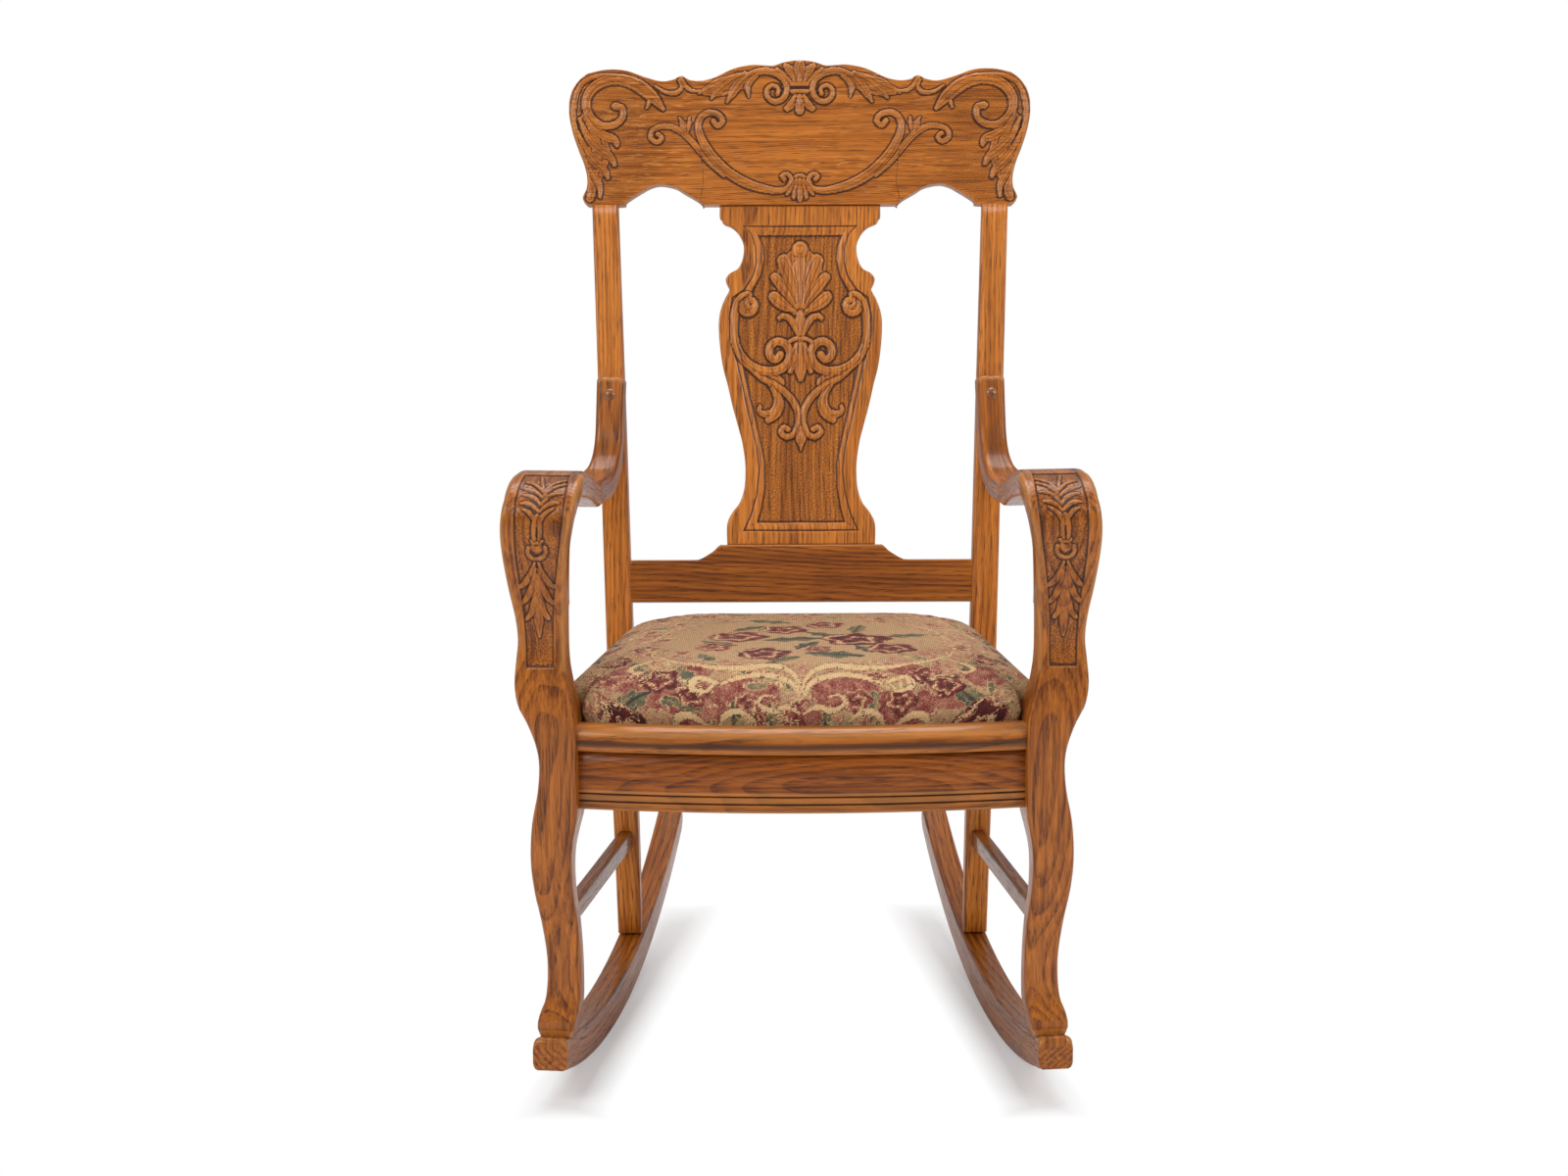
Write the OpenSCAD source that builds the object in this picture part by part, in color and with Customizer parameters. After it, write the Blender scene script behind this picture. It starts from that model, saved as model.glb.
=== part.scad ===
// Oak rocking chair with bent arms, carved back and slip seat

/* [Sides] */
// Half the clear width between the front legs
half_opening = 241; // [215:1:265]
// Angle by which each side runs in toward the back
side_taper = 7.4; // [6:0.2:9]
// Depth from the front of the legs to the front of the back posts
post_y = 425; // [405:1:450]
// Height above the seat ledge at which the back posts lean back
bend_rise = 27.5; // [15:0.5:45]
// Lean of the back behind the vertical
back_lean = 13; // [9:0.5:17]

/* [Runners] */
// Radius of the rocking edge
runner_r = 1020; // [980:10:1110]
// How much larger the radius of the upper edge is, so that a runner thins toward its ends
runner_thinning = 100; // [80:5:160]
// Height of a runner at its lowest point
runner_h = 41; // [34:1:50]
// Thickness of a runner
runner_w = 31.5; // [26:0.5:40]
// Width of the block at the tip of a runner
runner_block_w = 38; // [34:0.5:46]
// Depth of the lowest point behind the front of the legs
runner_low_y = 262; // [245:1:280]
// Reach of the tip ahead of the front of the legs
runner_front = 20; // [15:1:40]
// Depth of the tail behind the front of the legs
runner_back = 745; // [700:5:800]

/* [Arms and front legs] */
// Height of the top of the arm over the front leg
arm_h = 684; // [660:1:720]
// Broadest width of the arm and the leg
arm_w = 77; // [66:1:84]
// Thickness of the arm
arm_t = 28; // [22:0.5:32]
// Depth of the leg at the seat
leg_d = 43; // [38:1:48]
// Fall of the arm's top face from the hump to its lowest point
arm_drop = 48; // [38:1:60]
// Inner radius of the arm's rise to the back post
arm_rise_r = 70; // [55:1:85]
// Rise of the arm from its lowest point to its end on the back post
arm_end_rise = 109; // [92:1:140]
// Thickness of the arm where it lies on the back post
arm_end_t = 24; // [18:0.5:27]

/* [Back] */
// Distance along the back from the bend to the crest rail
crest_t = 548.5; // [500:1:600]
// Half the width of the crest rail
crest_half_w = 284; // [270:1:310]
// Height of the crest rail
crest_h = 180; // [160:1:200]
// Thickness of the crest rail
crest_d = 20; // [19:0.5:24]
// Half the widest width of the splat
splat_half_w = 100.3; // [80:0.5:112]
// Thickness of the splat
splat_d = 10; // [8:0.5:12]
// Distance along the back from the bend to the lower back rail
lower_rail_t = 60; // [50:1:90]
// Height of the lower back rail at its ends
lower_rail_h = 51.5; // [44:0.5:64]
// Rise of the lower back rail under the splat
lower_rail_rise = 18.3; // [12:0.1:24]
// Width of a back post
post_w = 32; // [29:0.5:36]
// Depth of a back post at the seat
post_d = 38; // [34:0.5:44]

/* [Seat] */
// Height of the rails that carry the slip seat
ledge_h = 392.5; // [380:0.5:400]
// Height of the front apron
apron_h = 67.5; // [55:0.5:80]
// Height of the side and rear seat rails
rail_h = 60; // [50:0.5:64]
// Thickness of the seat rails and the apron
rail_w = 26; // [23:0.5:30]
// Bow of the front edge of the seat
seat_bow = 25; // [10:0.5:35]
// Height of the seat caps
cap_h = 26; // [20:0.5:26]
// Width of the seat caps
cap_w = 24; // [20:0.5:26]
// Height of the cushion's crown above the seat caps
crown_h = 60; // [35:1:75]
// Height of the side stretchers' top face
stretcher_h = 193; // [170:1:220]
// Depth of a stretcher's section
stretcher_t = 22; // [18:0.5:26]
// Width of a stretcher's section
stretcher_w = 16.5; // [14:0.5:20]

/* [Hidden] */
oak = "peru";
dark_oak = "sienna";
pale_wood = "burlywood";

// Fineness of arcs, and one overrun that serves every cut
$fn = 96;
arc_fn = 360;
curve_steps = 4;
cut = 2;
reach = 1200;
gap = 0.3;

// Values that several pieces share: heights, back posts, seat sides and dowels
bend_h = ledge_h + bend_rise;
runner_top_r = runner_r + runner_thinning;
arm_dip_h = arm_h - arm_drop;
arm_end_h = arm_dip_h + arm_end_rise;
post_rake = 0.06 * bend_h;
post_foot_d = 0.8 * post_d;
post_top_d = crest_d;
post_foot_w = 0.9 * post_w;
post_foot_x = 0.885 * half_opening;
post_bend_x = 0.916 * half_opening;
post_top_x = 0.993 * half_opening;
post_top_y = crest_t * sin(back_lean);
post_top_z = bend_h + crest_t * cos(back_lean);
apron_low = ledge_h - apron_h;
rail_low = ledge_h - rail_h;
cap_lip = 0.3 * rail_w;
side_cap_x = 0.66 * arm_w;
rail_outer_x = side_cap_x - cap_lip;
rail_x = rail_outer_x - rail_w;
dowel_d = 0.31 * rail_w;
dowel_l = 1.3 * rail_w;
dowel_rows_share = [0.3, 0.72];

// Points of a smooth curve through the given points
function blend(a, b, c, d, t) =
    0.5 * (2 * b + (c - a) * t + (2 * a - 5 * b + 4 * c - d) * t * t + (3 * b - a - 3 * c + d) * t * t * t);
function curve(p) = [
    for (i = [0 : len(p) - 2]) for (k = [0 : curve_steps - 1])
        blend(p[max(i - 1, 0)], p[i], p[i + 1], p[min(i + 2, len(p) - 1)], k / curve_steps),
    p[len(p) - 1]
];
function scaled(shares, w, h) = [for (s = shares) [s[0] * w, s[1] * h]];
function reversed(p) = [for (i = [len(p) - 1 : -1 : 0]) p[i]];
function mirrored(p) = [for (q = reversed(p)) [-q[0], q[1]]];
// Points of an ellipse's arc from angle a to angle b, measured from the y axis of the outline
function arc(center, rx, ry, a, b, steps) = [
    for (k = [0 : steps]) let (t = a + (b - a) * k / steps) center + [rx * cos(t), ry * sin(t)]
];

// Frame of the right side: x runs outward from the leg's inner face, y back along the side
module side_frame() {
    translate([half_opening, 0, 0]) rotate([0, 0, side_taper]) children();
}
module left_half() {
    mirror([1, 0, 0]) children();
}
// Frame of the leaning back: x across, y through the back, z up along it
module back_frame() {
    translate([0, post_y, bend_h]) rotate([-back_lean, 0, 0]) children();
}
// Solid of a side outline given as [y, z], from x0 to x1
module side_solid(outline, x0, x1) {
    translate([x0, 0, 0]) rotate([90, 0, 90]) linear_extrude(x1 - x0) polygon(outline);
}
// Solid of a front outline given as [x, z], from y0 to y1
module front_solid(outline, y0, y1) {
    translate([0, y1, 0]) rotate([90, 0, 0]) linear_extrude(y1 - y0) polygon(outline);
}
module peg(d, l) {
    translate([0, 0, -l / 2]) cylinder(d = d, h = l);
}

// Runners
runner_x = 0.4 * arm_w;
runner_block_l = 1.2 * runner_w;
tip_round = 0.2 * runner_h;
tail_round = 0.28 * runner_h;
runner_space_x = 4 * arm_w;

module rocking_disc(r, z, w) {
    translate([runner_x - w / 2, runner_low_y, z]) rotate([0, 90, 0]) cylinder(r = r, h = w, $fn = arc_fn);
}
// All that lies above the runner's upper edge
module above_runner() {
    rocking_disc(runner_top_r, runner_h + runner_top_r, runner_space_x);
}
module runner_plan() {
    neck = runner_block_l - runner_front;
    polygon([
        [runner_x - runner_block_w / 2, -runner_front], [runner_x + runner_block_w / 2, -runner_front],
        [runner_x + runner_block_w / 2, 0], [runner_x + runner_w / 2, neck],
        [runner_x + runner_w / 2, runner_back], [runner_x - runner_w / 2, runner_back],
        [runner_x - runner_w / 2, neck], [runner_x - runner_block_w / 2, 0]
    ]);
}
function low_edge(y) = runner_r - sqrt(runner_r * runner_r - pow(y - runner_low_y, 2));
function high_edge(y) = runner_h + runner_top_r - sqrt(pow(runner_top_r, 2) - pow(y - runner_low_y, 2));
// Side view that rounds the top of the tip and both corners of the tail
module runner_ends() {
    tip_top = high_edge(-runner_front);
    tail_top = high_edge(runner_back);
    tail_low = low_edge(runner_back);
    side_solid(concat(
        [[-runner_front, -runner_h]],
        reversed(arc([tip_round - runner_front, tip_top - tip_round], tip_round, tip_round, 90, 180, 6)),
        [[tip_round - runner_front, reach / 2], [runner_back - tail_round, reach / 2]],
        reversed(arc([runner_back - tail_round, tail_top - tail_round], tail_round, tail_round, 0, 90, 6)),
        [[runner_back, tail_low + tail_round / 2], [runner_back - tail_round / 2, tail_low]],
        [[runner_back - 3 * tail_round, -runner_h]]
    ), -runner_space_x, runner_space_x);
}
module right_runner_blank() {
    side_frame() difference() {
        intersection() {
            rocking_disc(runner_r, runner_r, 2 * runner_w);
            linear_extrude(reach) runner_plan();
            runner_ends();
        }
        above_runner();
        runner_screw_places() translate([0, 0, -runner_h]) cylinder(d = runner_screw_d, h = reach / 4);
        runner_screw_places() runner_screw_head(runner_screw_head_d, runner_h);
    }
}
module right_runner() {
    color(oak) right_runner_blank();
}
module left_runner() {
    color(oak) left_half() right_runner_blank();
}

// Screws up through the runners into the feet
runner_screw_d = 0.14 * runner_w;
runner_screw_head_d = 2 * runner_screw_d;
runner_screw_l = 2 * runner_h;
runner_screw_sink = 0.3 * runner_h;
foot_shift = 0.03 * arm_w;
foot_screw_y = 0.45 * leg_d;
post_foot_y = post_y + post_rake + post_foot_d / 2;
module runner_screw_places() {
    for (y = [foot_screw_y, post_foot_y])
        translate([runner_x - foot_shift, y, low_edge(y) + runner_screw_sink]) children();
}
module runner_screw_head(d, l) {
    translate([0, 0, -l]) cylinder(d = d, h = l);
}
module runner_screws() {
    color("dimgray") {
        side_frame() runner_screw_places() runner_screw();
        left_half() side_frame() runner_screw_places() runner_screw();
    }
}
module runner_screw() {
    cylinder(d = runner_screw_d, h = runner_screw_l);
    runner_screw_head(runner_screw_head_d, runner_screw_d / 2);
}

// Arms and front legs, outlines as [share of the width, share of the arm's height]
leg_outer_shares = [
    [0.58, 0.06], [0.60, 0.10], [0.643, 0.118], [0.61, 0.14], [0.527, 0.168], [0.505, 0.23],
    [0.571, 0.294], [0.65, 0.345], [0.684, 0.395], [0.649, 0.453], [0.56, 0.505], [0.532, 0.548],
    [0.575, 0.58], [0.69, 0.614], [0.825, 0.643], [0.872, 0.677], [0.85, 0.715], [0.825, 0.745],
    [0.85, 0.78], [0.922, 0.827], [0.975, 0.875], [0.995, 0.915], [0.975, 0.95], [0.95, 0.97]
];
leg_inner_low_shares = [
    [0.15, 0.06], [0.145, 0.10], [0.108, 0.118], [0.06, 0.145], [0.03, 0.17], [0.022, 0.23],
    [0.045, 0.29], [0.095, 0.345], [0.10, 0.40], [0.05, 0.44], [0, 0.465]
];
leg_inner_high_shares = [
    [0, 0.615], [0.05, 0.643], [0.12, 0.675], [0.155, 0.715], [0.14, 0.77], [0.105, 0.83],
    [0.07, 0.89], [0.03, 0.92], [-0.02, 0.945], [-0.065, 0.965]
];
// Front and rear faces of the leg as [share of the leg's depth, share of the arm's height]
leg_front_shares = [
    [0, 0.06], [0, 0.10], [-0.03, 0.128], [0.08, 0.15], [0.17, 0.20], [0.10, 0.27], [-0.03, 0.33],
    [-0.13, 0.41], [-0.16, 0.47], [-0.16, 0.60], [-0.10, 0.66], [0.04, 0.73], [-0.02, 0.79],
    [-0.2, 0.85], [-0.36, 0.905], [-0.39, 0.935]
];
leg_back_low_shares = [
    [1, 0.06], [1, 0.10], [0.9, 0.14], [0.78, 0.19], [0.68, 0.27], [0.60, 0.35], [0.66, 0.41],
    [0.9, 0.45], [1, 0.47]
];
leg_back_high_shares = [[1, 0.63], [0.92, 0.67], [0.74, 0.73], [0.55, 0.79], [0.36, 0.85], [0.27, 0.89]];
// Plan of the arm as [share of the width, share of the depth to the post]
arm_plan_outer_shares = [
    [0.95, 0.07], [0.96, 0.15], [1.02, 0.35], [1.11, 0.6], [1.17, 0.8], [1.17, 0.88], [1.08, 0.95],
    [0.95, 1.0], [0.89, 1.06], [0.89, 1.14], [0.9, 1.3]
];
arm_plan_inner_shares = [
    [-0.065, 0.07], [0, 0.17], [0.17, 0.4], [0.34, 0.62], [0.46, 0.8], [0.49, 0.9], [0.47, 1.0],
    [0.455, 1.06], [0.46, 1.14], [0.46, 1.3]
];
hump_y = 0.105 * post_y;
hump_start_z = 0.935 * arm_h;
arm_split_y = 0.07 * post_y;
arm_split_z = 0.87 * arm_h;
arm_end_round = 0.3 * arm_end_t;
post_face_shift = 0.125 * leg_d;

function post_face_y(z) = post_y - post_face_shift + (z - bend_h) * tan(back_lean);
rise_z = arm_dip_h + arm_rise_r;
rise_end_z = rise_z - arm_rise_r * sin(back_lean);
rise_y = post_face_y(rise_end_z) - arm_end_t / cos(back_lean) - arm_rise_r * cos(back_lean);
rise_end_y = rise_y + arm_rise_r * cos(back_lean);
arm_end_y = rise_end_y + (arm_end_h - rise_end_z) * tan(back_lean);
inner_bend = 1.1 * arm_t;

arm_and_leg_side = concat(
    curve(scaled(leg_front_shares, leg_d, arm_h)),
    let (x = leg_d * leg_front_shares[15][0])
        reversed(arc([hump_y, hump_start_z], hump_y - x, arm_h - hump_start_z, 90, 172, 10)),
    curve([
        [hump_y, arm_h], [hump_y * 2, arm_h - 0.07 * arm_t],
        [(hump_y + rise_y) / 2, (arm_h + arm_dip_h) / 2], [rise_y - arm_rise_r, arm_dip_h + 0.12 * arm_t],
        [rise_y, arm_dip_h]
    ]),
    arc([rise_y, rise_z], arm_rise_r, arm_rise_r, -84, -back_lean, 10),
    [[arm_end_y - arm_end_round * tan(back_lean), arm_end_h - arm_end_round]],
    [[arm_end_y + arm_end_round / 2, arm_end_h], [arm_end_y + 2 * arm_end_t, arm_end_h]],
    reversed(arc([rise_y, rise_z], arm_rise_r + arm_t, arm_rise_r + arm_t, -90, -back_lean, 10)),
    curve([
        [rise_y - arm_rise_r, arm_dip_h - 0.9 * arm_t],
        [(hump_y + rise_y) / 2, (arm_h + arm_dip_h) / 2 - arm_t],
        [hump_y * 1.6, arm_h - 1.05 * arm_t]
    ]),
    arc([leg_d * 0.27 + inner_bend, arm_h * 0.89 + inner_bend * 0.8], inner_bend, inner_bend, 110, 170, 5),
    reversed(curve(scaled(leg_back_high_shares, leg_d, arm_h))),
    reversed(curve(scaled(leg_back_low_shares, leg_d, arm_h)))
);
leg_front_outline = concat(
    curve(scaled(leg_outer_shares, arm_w, arm_h)), [[0.95 * arm_w, 2 * arm_h], [-0.065 * arm_w, 2 * arm_h]],
    reversed(curve(scaled(leg_inner_high_shares, arm_w, arm_h))),
    reversed(curve(scaled(leg_inner_low_shares, arm_w, arm_h)))
);
arm_plan = concat(
    curve(scaled(arm_plan_outer_shares, arm_w, post_y)),
    reversed(curve(scaled(arm_plan_inner_shares, arm_w, post_y)))
);
module arm_and_leg_widths() {
    front_solid(leg_front_outline, -leg_d, arm_split_y);
    intersection() {
        linear_extrude(2 * arm_h) polygon(arm_plan);
        translate([-arm_w, 0, arm_split_z]) cube([3 * arm_w, 2 * post_y, arm_h]);
    }
    intersection() {
        front_solid(leg_front_outline, arm_split_y - cut, 2 * leg_d);
        translate([-arm_w, -post_y, 0]) cube([3 * arm_w, 3 * post_y, arm_split_z]);
    }
}
module right_arm_and_leg_blank() {
    difference() {
        side_frame() intersection() {
            side_solid(arm_and_leg_side, -arm_w, 2 * arm_w);
            arm_and_leg_widths();
            above_runner();
        }
        behind_post_face();
        apron_dowel_places() peg(dowel_d, dowel_l);
        side_frame() rail_front_dowel_places() peg(dowel_d, dowel_l);
        side_frame() stretcher_front_dowel_place() peg(dowel_d, dowel_l);
        side_frame() runner_screw_places() cylinder(d = runner_screw_d, h = runner_screw_l);
        arm_screw_place() cylinder(d = arm_screw_d, h = arm_screw_l, center = true);
        arm_screw_place() cylinder(d = plug_d, h = plug_seat);
    }
}
module right_arm_and_leg() {
    color(oak) right_arm_and_leg_blank();
}
module left_arm_and_leg() {
    color(oak) left_half() right_arm_and_leg_blank();
}
// All that lies behind the front faces of the upper back posts
module behind_post_face() {
    translate([0, post_y, bend_h]) rotate([-back_lean, 0, 0])
        translate([-reach, 0, 0]) cube([2 * reach, reach, reach]);
}

// Arm screws and the plugs over their heads, square to the leaning posts
arm_screw_d = 0.2 * arm_end_t;
arm_screw_l = 2 * arm_end_t;
arm_screw_head_d = 2 * arm_screw_d;
arm_screw_head_t = 0.5 * arm_screw_d;
plug_d = 0.58 * arm_end_t;
plug_seat = 1.2 * arm_end_t;
plug_dome = 0.25 * plug_d;
arm_screw_t = (arm_end_h - bend_h) / cos(back_lean) - 0.95 * arm_end_t;
arm_screw_x = post_x(arm_screw_t);
plug_y = -0.72 * arm_end_t;
module arm_screw_place() {
    back_frame() translate([arm_screw_x, plug_y, arm_screw_t]) rotate([90, 0, 0]) children();
}
module arm_screw() {
    arm_screw_place() {
        translate([0, 0, -arm_screw_l / 2]) cylinder(d = arm_screw_d, h = arm_screw_l / 2);
        cylinder(d = arm_screw_head_d, h = arm_screw_head_t);
    }
}
module arm_screws() {
    color("dimgray") {
        arm_screw();
        left_half() arm_screw();
    }
}
// Domed plug that fills the hole over the screw and stands proud of the arm
module right_plug_blank() {
    arm_screw_place() {
        translate([0, 0, arm_screw_head_t]) cylinder(d = plug_d, h = plug_stem - arm_screw_head_t);
        translate([0, 0, plug_stem]) intersection() {
            translate([0, 0, plug_dome - plug_ball_r]) sphere(r = plug_ball_r);
            cylinder(d = plug_d, h = plug_d);
        }
    }
}
plug_ball_r = (plug_d * plug_d / 4 + plug_dome * plug_dome) / (2 * plug_dome);
plug_stem = 0.37 * arm_end_t;
module right_arm_plug() {
    color(dark_oak) right_plug_blank();
}
module left_arm_plug() {
    color(dark_oak) left_half() right_plug_blank();
}

// Back posts, from the runners to the crest rail
function post_x(t) = post_bend_x + (post_top_x - post_bend_x) * t / crest_t;
post_side = [
    [post_y + post_rake, 0], [post_y, ledge_h - apron_h], [post_y, bend_h],
    [post_y + post_top_y, post_top_z],
    [post_y + post_top_y + post_top_d * cos(back_lean), post_top_z - post_top_d * sin(back_lean)],
    [post_y + post_d + 0.45 * post_top_y, bend_h + 0.5 * (post_top_z - bend_h)],
    [post_y + post_d + 0.06 * post_top_y, bend_h + 0.12 * (post_top_z - bend_h)],
    [post_y + post_d, ledge_h], [post_y + post_d, ledge_h - apron_h],
    [post_y + post_rake + post_foot_d, 0]
];
post_front_outline = [
    [post_foot_x - post_foot_w / 2, 0], [post_foot_x + post_foot_w / 2, 0],
    [post_bend_x + post_w / 2, bend_h], [post_top_x + post_w / 2, post_top_z],
    [post_top_x - post_w / 2, post_top_z], [post_bend_x - post_w / 2, bend_h]
];
module right_back_post_blank() {
    difference() {
        intersection() {
            side_solid(post_side, 0, reach);
            front_solid(post_front_outline, 0, reach);
            side_frame() above_runner();
        }
        crest_dowel_place() peg(dowel_d, dowel_l);
        lower_rail_dowel_places() peg(dowel_d, dowel_l);
        rear_rail_dowel_places() peg(dowel_d, dowel_l);
        side_frame() rail_rear_dowel_places() peg(dowel_d, dowel_l);
        side_frame() stretcher_rear_dowel_place() peg(dowel_d, dowel_l);
        side_frame() runner_screw_places() cylinder(d = runner_screw_d, h = runner_screw_l);
        arm_screw_place() cylinder(d = arm_screw_d, h = arm_screw_l, center = true);
    }
}
module right_back_post() {
    color(oak) right_back_post_blank();
}
module left_back_post() {
    color(oak) left_half() right_back_post_blank();
}

// Crest rail, half outline as [share of half its width, share of its height]
crest_low_shares = [
    [0.419, 0.002], [0.445, 0.036], [0.496, 0.083], [0.538, 0.123], [0.6, 0.143], [0.644, 0.129],
    [0.69, 0.089], [0.749, 0.028], [0.76, 0]
];
crest_side_shares = [
    [0.915, 0], [0.929, 0.02], [0.94, 0.055], [0.923, 0.12], [0.921, 0.19], [0.93, 0.26], [0.945, 0.33],
    [0.965, 0.41], [0.985, 0.51], [0.998, 0.61], [1, 0.68], [0.998, 0.73], [0.985, 0.8],
    [0.957, 0.865], [0.92, 0.912], [0.84, 0.939], [0.754, 0.933], [0.669, 0.886], [0.6, 0.858],
    [0.55, 0.868], [0.512, 0.894]
];
crest_top_shares = [
    [0.512, 0.894], [0.478, 0.867], [0.43, 0.86], [0.372, 0.881], [0.287, 0.943], [0.203, 0.97],
    [0.118, 0.964], [0.076, 0.984], [0.03, 0.998], [0, 1]
];
crest_right = concat(
    scaled([[0, 0]], crest_half_w, crest_h), curve(scaled(crest_low_shares, crest_half_w, crest_h)),
    curve(scaled(crest_side_shares, crest_half_w, crest_h)),
    curve(scaled(crest_top_shares, crest_half_w, crest_h))
);
splat_tenon_d = 0.6 * splat_d;
splat_tenon_h = 1.2 * splat_d;
splat_y = 0.55 * crest_d;
module crest_rail() {
    color(oak) back_frame() difference() {
        translate([0, 0, crest_t]) {
            front_solid(crest_right, 0, crest_d);
            left_half() front_solid(crest_right, 0, crest_d);
        }
        crest_dowel_local() peg(dowel_d, dowel_l);
        left_half() crest_dowel_local() peg(dowel_d, dowel_l);
        splat_tenon(crest_t - cut, crest_t + splat_tenon_h);
    }
}
module splat_tenon(t0, t1) {
    tenon_w = 1.4 * splat_half_w;
    translate([-tenon_w / 2, splat_y - splat_tenon_d / 2, t0]) cube([tenon_w, splat_tenon_d, t1 - t0]);
}

// Splat, half outline as [share of half its width, share of its height]
splat_shares = [
    [0.90, 0], [0.90, 0.06], [0.84, 0.094], [0.752, 0.122], [0.7, 0.155], [0.68, 0.19], [0.68, 0.24],
    [0.715, 0.3], [0.77, 0.352], [0.835, 0.41], [0.89, 0.468], [0.95, 0.525], [0.985, 0.585], [1, 0.64],
    [0.99, 0.675], [0.964, 0.70], [0.922, 0.725], [0.87, 0.75]
];
splat_ear_shares = [
    [0.87, 0.75], [0.895, 0.765], [0.912, 0.783], [0.86, 0.8], [0.77, 0.812], [0.715, 0.835], [0.69, 0.865],
    [0.70, 0.89], [0.75, 0.915], [0.83, 0.934], [0.93, 0.945], [0.962, 0.958], [0.984, 0.965]
];
splat_t = lower_rail_t + lower_rail_h + lower_rail_rise;
splat_h = crest_t - splat_t;
splat_right = concat(
    scaled([[0, 0]], splat_half_w, splat_h), curve(scaled(splat_shares, splat_half_w, splat_h)),
    curve(scaled(splat_ear_shares, splat_half_w, splat_h)),
    scaled([[0.984, 1], [0, 1]], splat_half_w, splat_h)
);
module splat() {
    color(oak) back_frame() {
        translate([0, 0, splat_t]) {
            front_solid(splat_right, splat_y - splat_d / 2, splat_y + splat_d / 2);
            left_half() front_solid(splat_right, splat_y - splat_d / 2, splat_y + splat_d / 2);
        }
        splat_tenon(crest_t - cut, crest_t + splat_tenon_h);
        splat_tenon(splat_t - splat_tenon_h, splat_t + cut);
    }
}

// Lower back rail with its raised middle, as [share of half the splat's width, share of the rise]
lower_rail_shares = [[1.25, 0], [1.2, 0.12], [1.13, 0.34], [1.042, 0.67], [1, 1]];
lower_rail_d = 0.9 * crest_d;
lower_rail_y = splat_y - lower_rail_d / 2;
module lower_rail_outline() {
    steps = curve(scaled(lower_rail_shares, splat_half_w, lower_rail_rise));
    top = [for (p = steps) [p[0], p[1] + lower_rail_h]];
    polygon(concat(
        [[reach, 0], [reach, lower_rail_h]], top, mirrored(top), [[-reach, lower_rail_h], [-reach, 0]]
    ));
}
module lower_back_rail() {
    color(oak) intersection() {
        back_frame() difference() {
            translate([0, lower_rail_y + lower_rail_d, lower_rail_t]) rotate([90, 0, 0])
                linear_extrude(lower_rail_d) lower_rail_outline();
            splat_tenon(splat_t - splat_tenon_h, splat_t + cut);
            lower_rail_dowels_local() peg(dowel_d, dowel_l);
            left_half() lower_rail_dowels_local() peg(dowel_d, dowel_l);
        }
        between_posts();
    }
}
// Space between the inner faces of the back posts
module between_posts() {
    inner = [
        [post_foot_x - post_foot_w / 2, 0], [post_bend_x - post_w / 2, bend_h],
        [post_top_x - post_w / 2, post_top_z]
    ];
    front_solid(concat(inner, mirrored(inner)), 0, reach);
}

// Apron and front cap, bowed about one centre
bow_chord = half_opening;
bow_r = (bow_chord * bow_chord + seat_bow * seat_bow) / (2 * seat_bow);
cap_front_y = 0;
bow_center_y = cap_front_y - seat_bow + bow_r;
apron_r = bow_r - cap_lip;
bead_depth = 0.06 * rail_w;
bead_w = 0.07 * rail_w;
bead_share = [0.13, 0.25];
module bow_ring(outer, inner, z, h) {
    translate([0, bow_center_y, z]) difference() {
        cylinder(r = outer, h = h, $fn = arc_fn);
        translate([0, 0, -cut]) cylinder(r = inner, h = h + 2 * cut, $fn = arc_fn);
    }
}
// Space between the inner faces of the front legs
module between_legs() {
    intersection() {
        side_frame() translate([-reach, -reach / 2, 0]) cube([reach, reach, reach]);
        left_half() side_frame() translate([-reach, -reach / 2, 0]) cube([reach, reach, reach]);
    }
}
module front_apron() {
    color(oak) difference() {
        intersection() {
            bow_ring(apron_r, apron_r - rail_w, apron_low, apron_h);
            between_legs();
        }
        for (s = bead_share)
            bow_ring(apron_r + cut, apron_r - bead_depth, apron_low + s * apron_h, bead_w);
        apron_dowel_places() peg(dowel_d, dowel_l);
        left_half() apron_dowel_places() peg(dowel_d, dowel_l);
        right_and_left() apron_screw_place() screw_hole();
    }
}
// Section of a seat cap as [share of its width from the back, share of its height]
cap_shares = [
    [0, 0], [0.88, 0], [0.95, 0.05], [0.99, 0.15], [1, 0.3], [0.99, 0.45], [0.96, 0.58], [0.88, 0.72],
    [0.75, 0.85], [0.55, 0.95], [0.3, 1], [0, 1]
];
cap_section = scaled(cap_shares, cap_w, cap_h);
module front_seat_cap() {
    color(oak) intersection() {
        translate([0, bow_center_y, ledge_h]) rotate([0, 0, -90 - bow_sweep / 2])
            rotate_extrude(angle = bow_sweep, $fn = arc_fn)
                polygon([for (p = cap_section) [p[0] + bow_r - cap_w, p[1]]]);
        between_legs();
    }
}
bow_sweep = 40;

// Seat rails and the caps along the sides
module right_seat_rail_blank() {
    difference() {
        side_frame() translate([rail_x, leg_d, rail_low]) cube([rail_w, post_y, rail_h]);
        behind_rail_end();
        side_frame() rail_front_dowel_places() peg(dowel_d, dowel_l);
        side_frame() rail_rear_dowel_places() peg(dowel_d, dowel_l);
        side_screw_places() screw_hole();
    }
}
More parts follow.
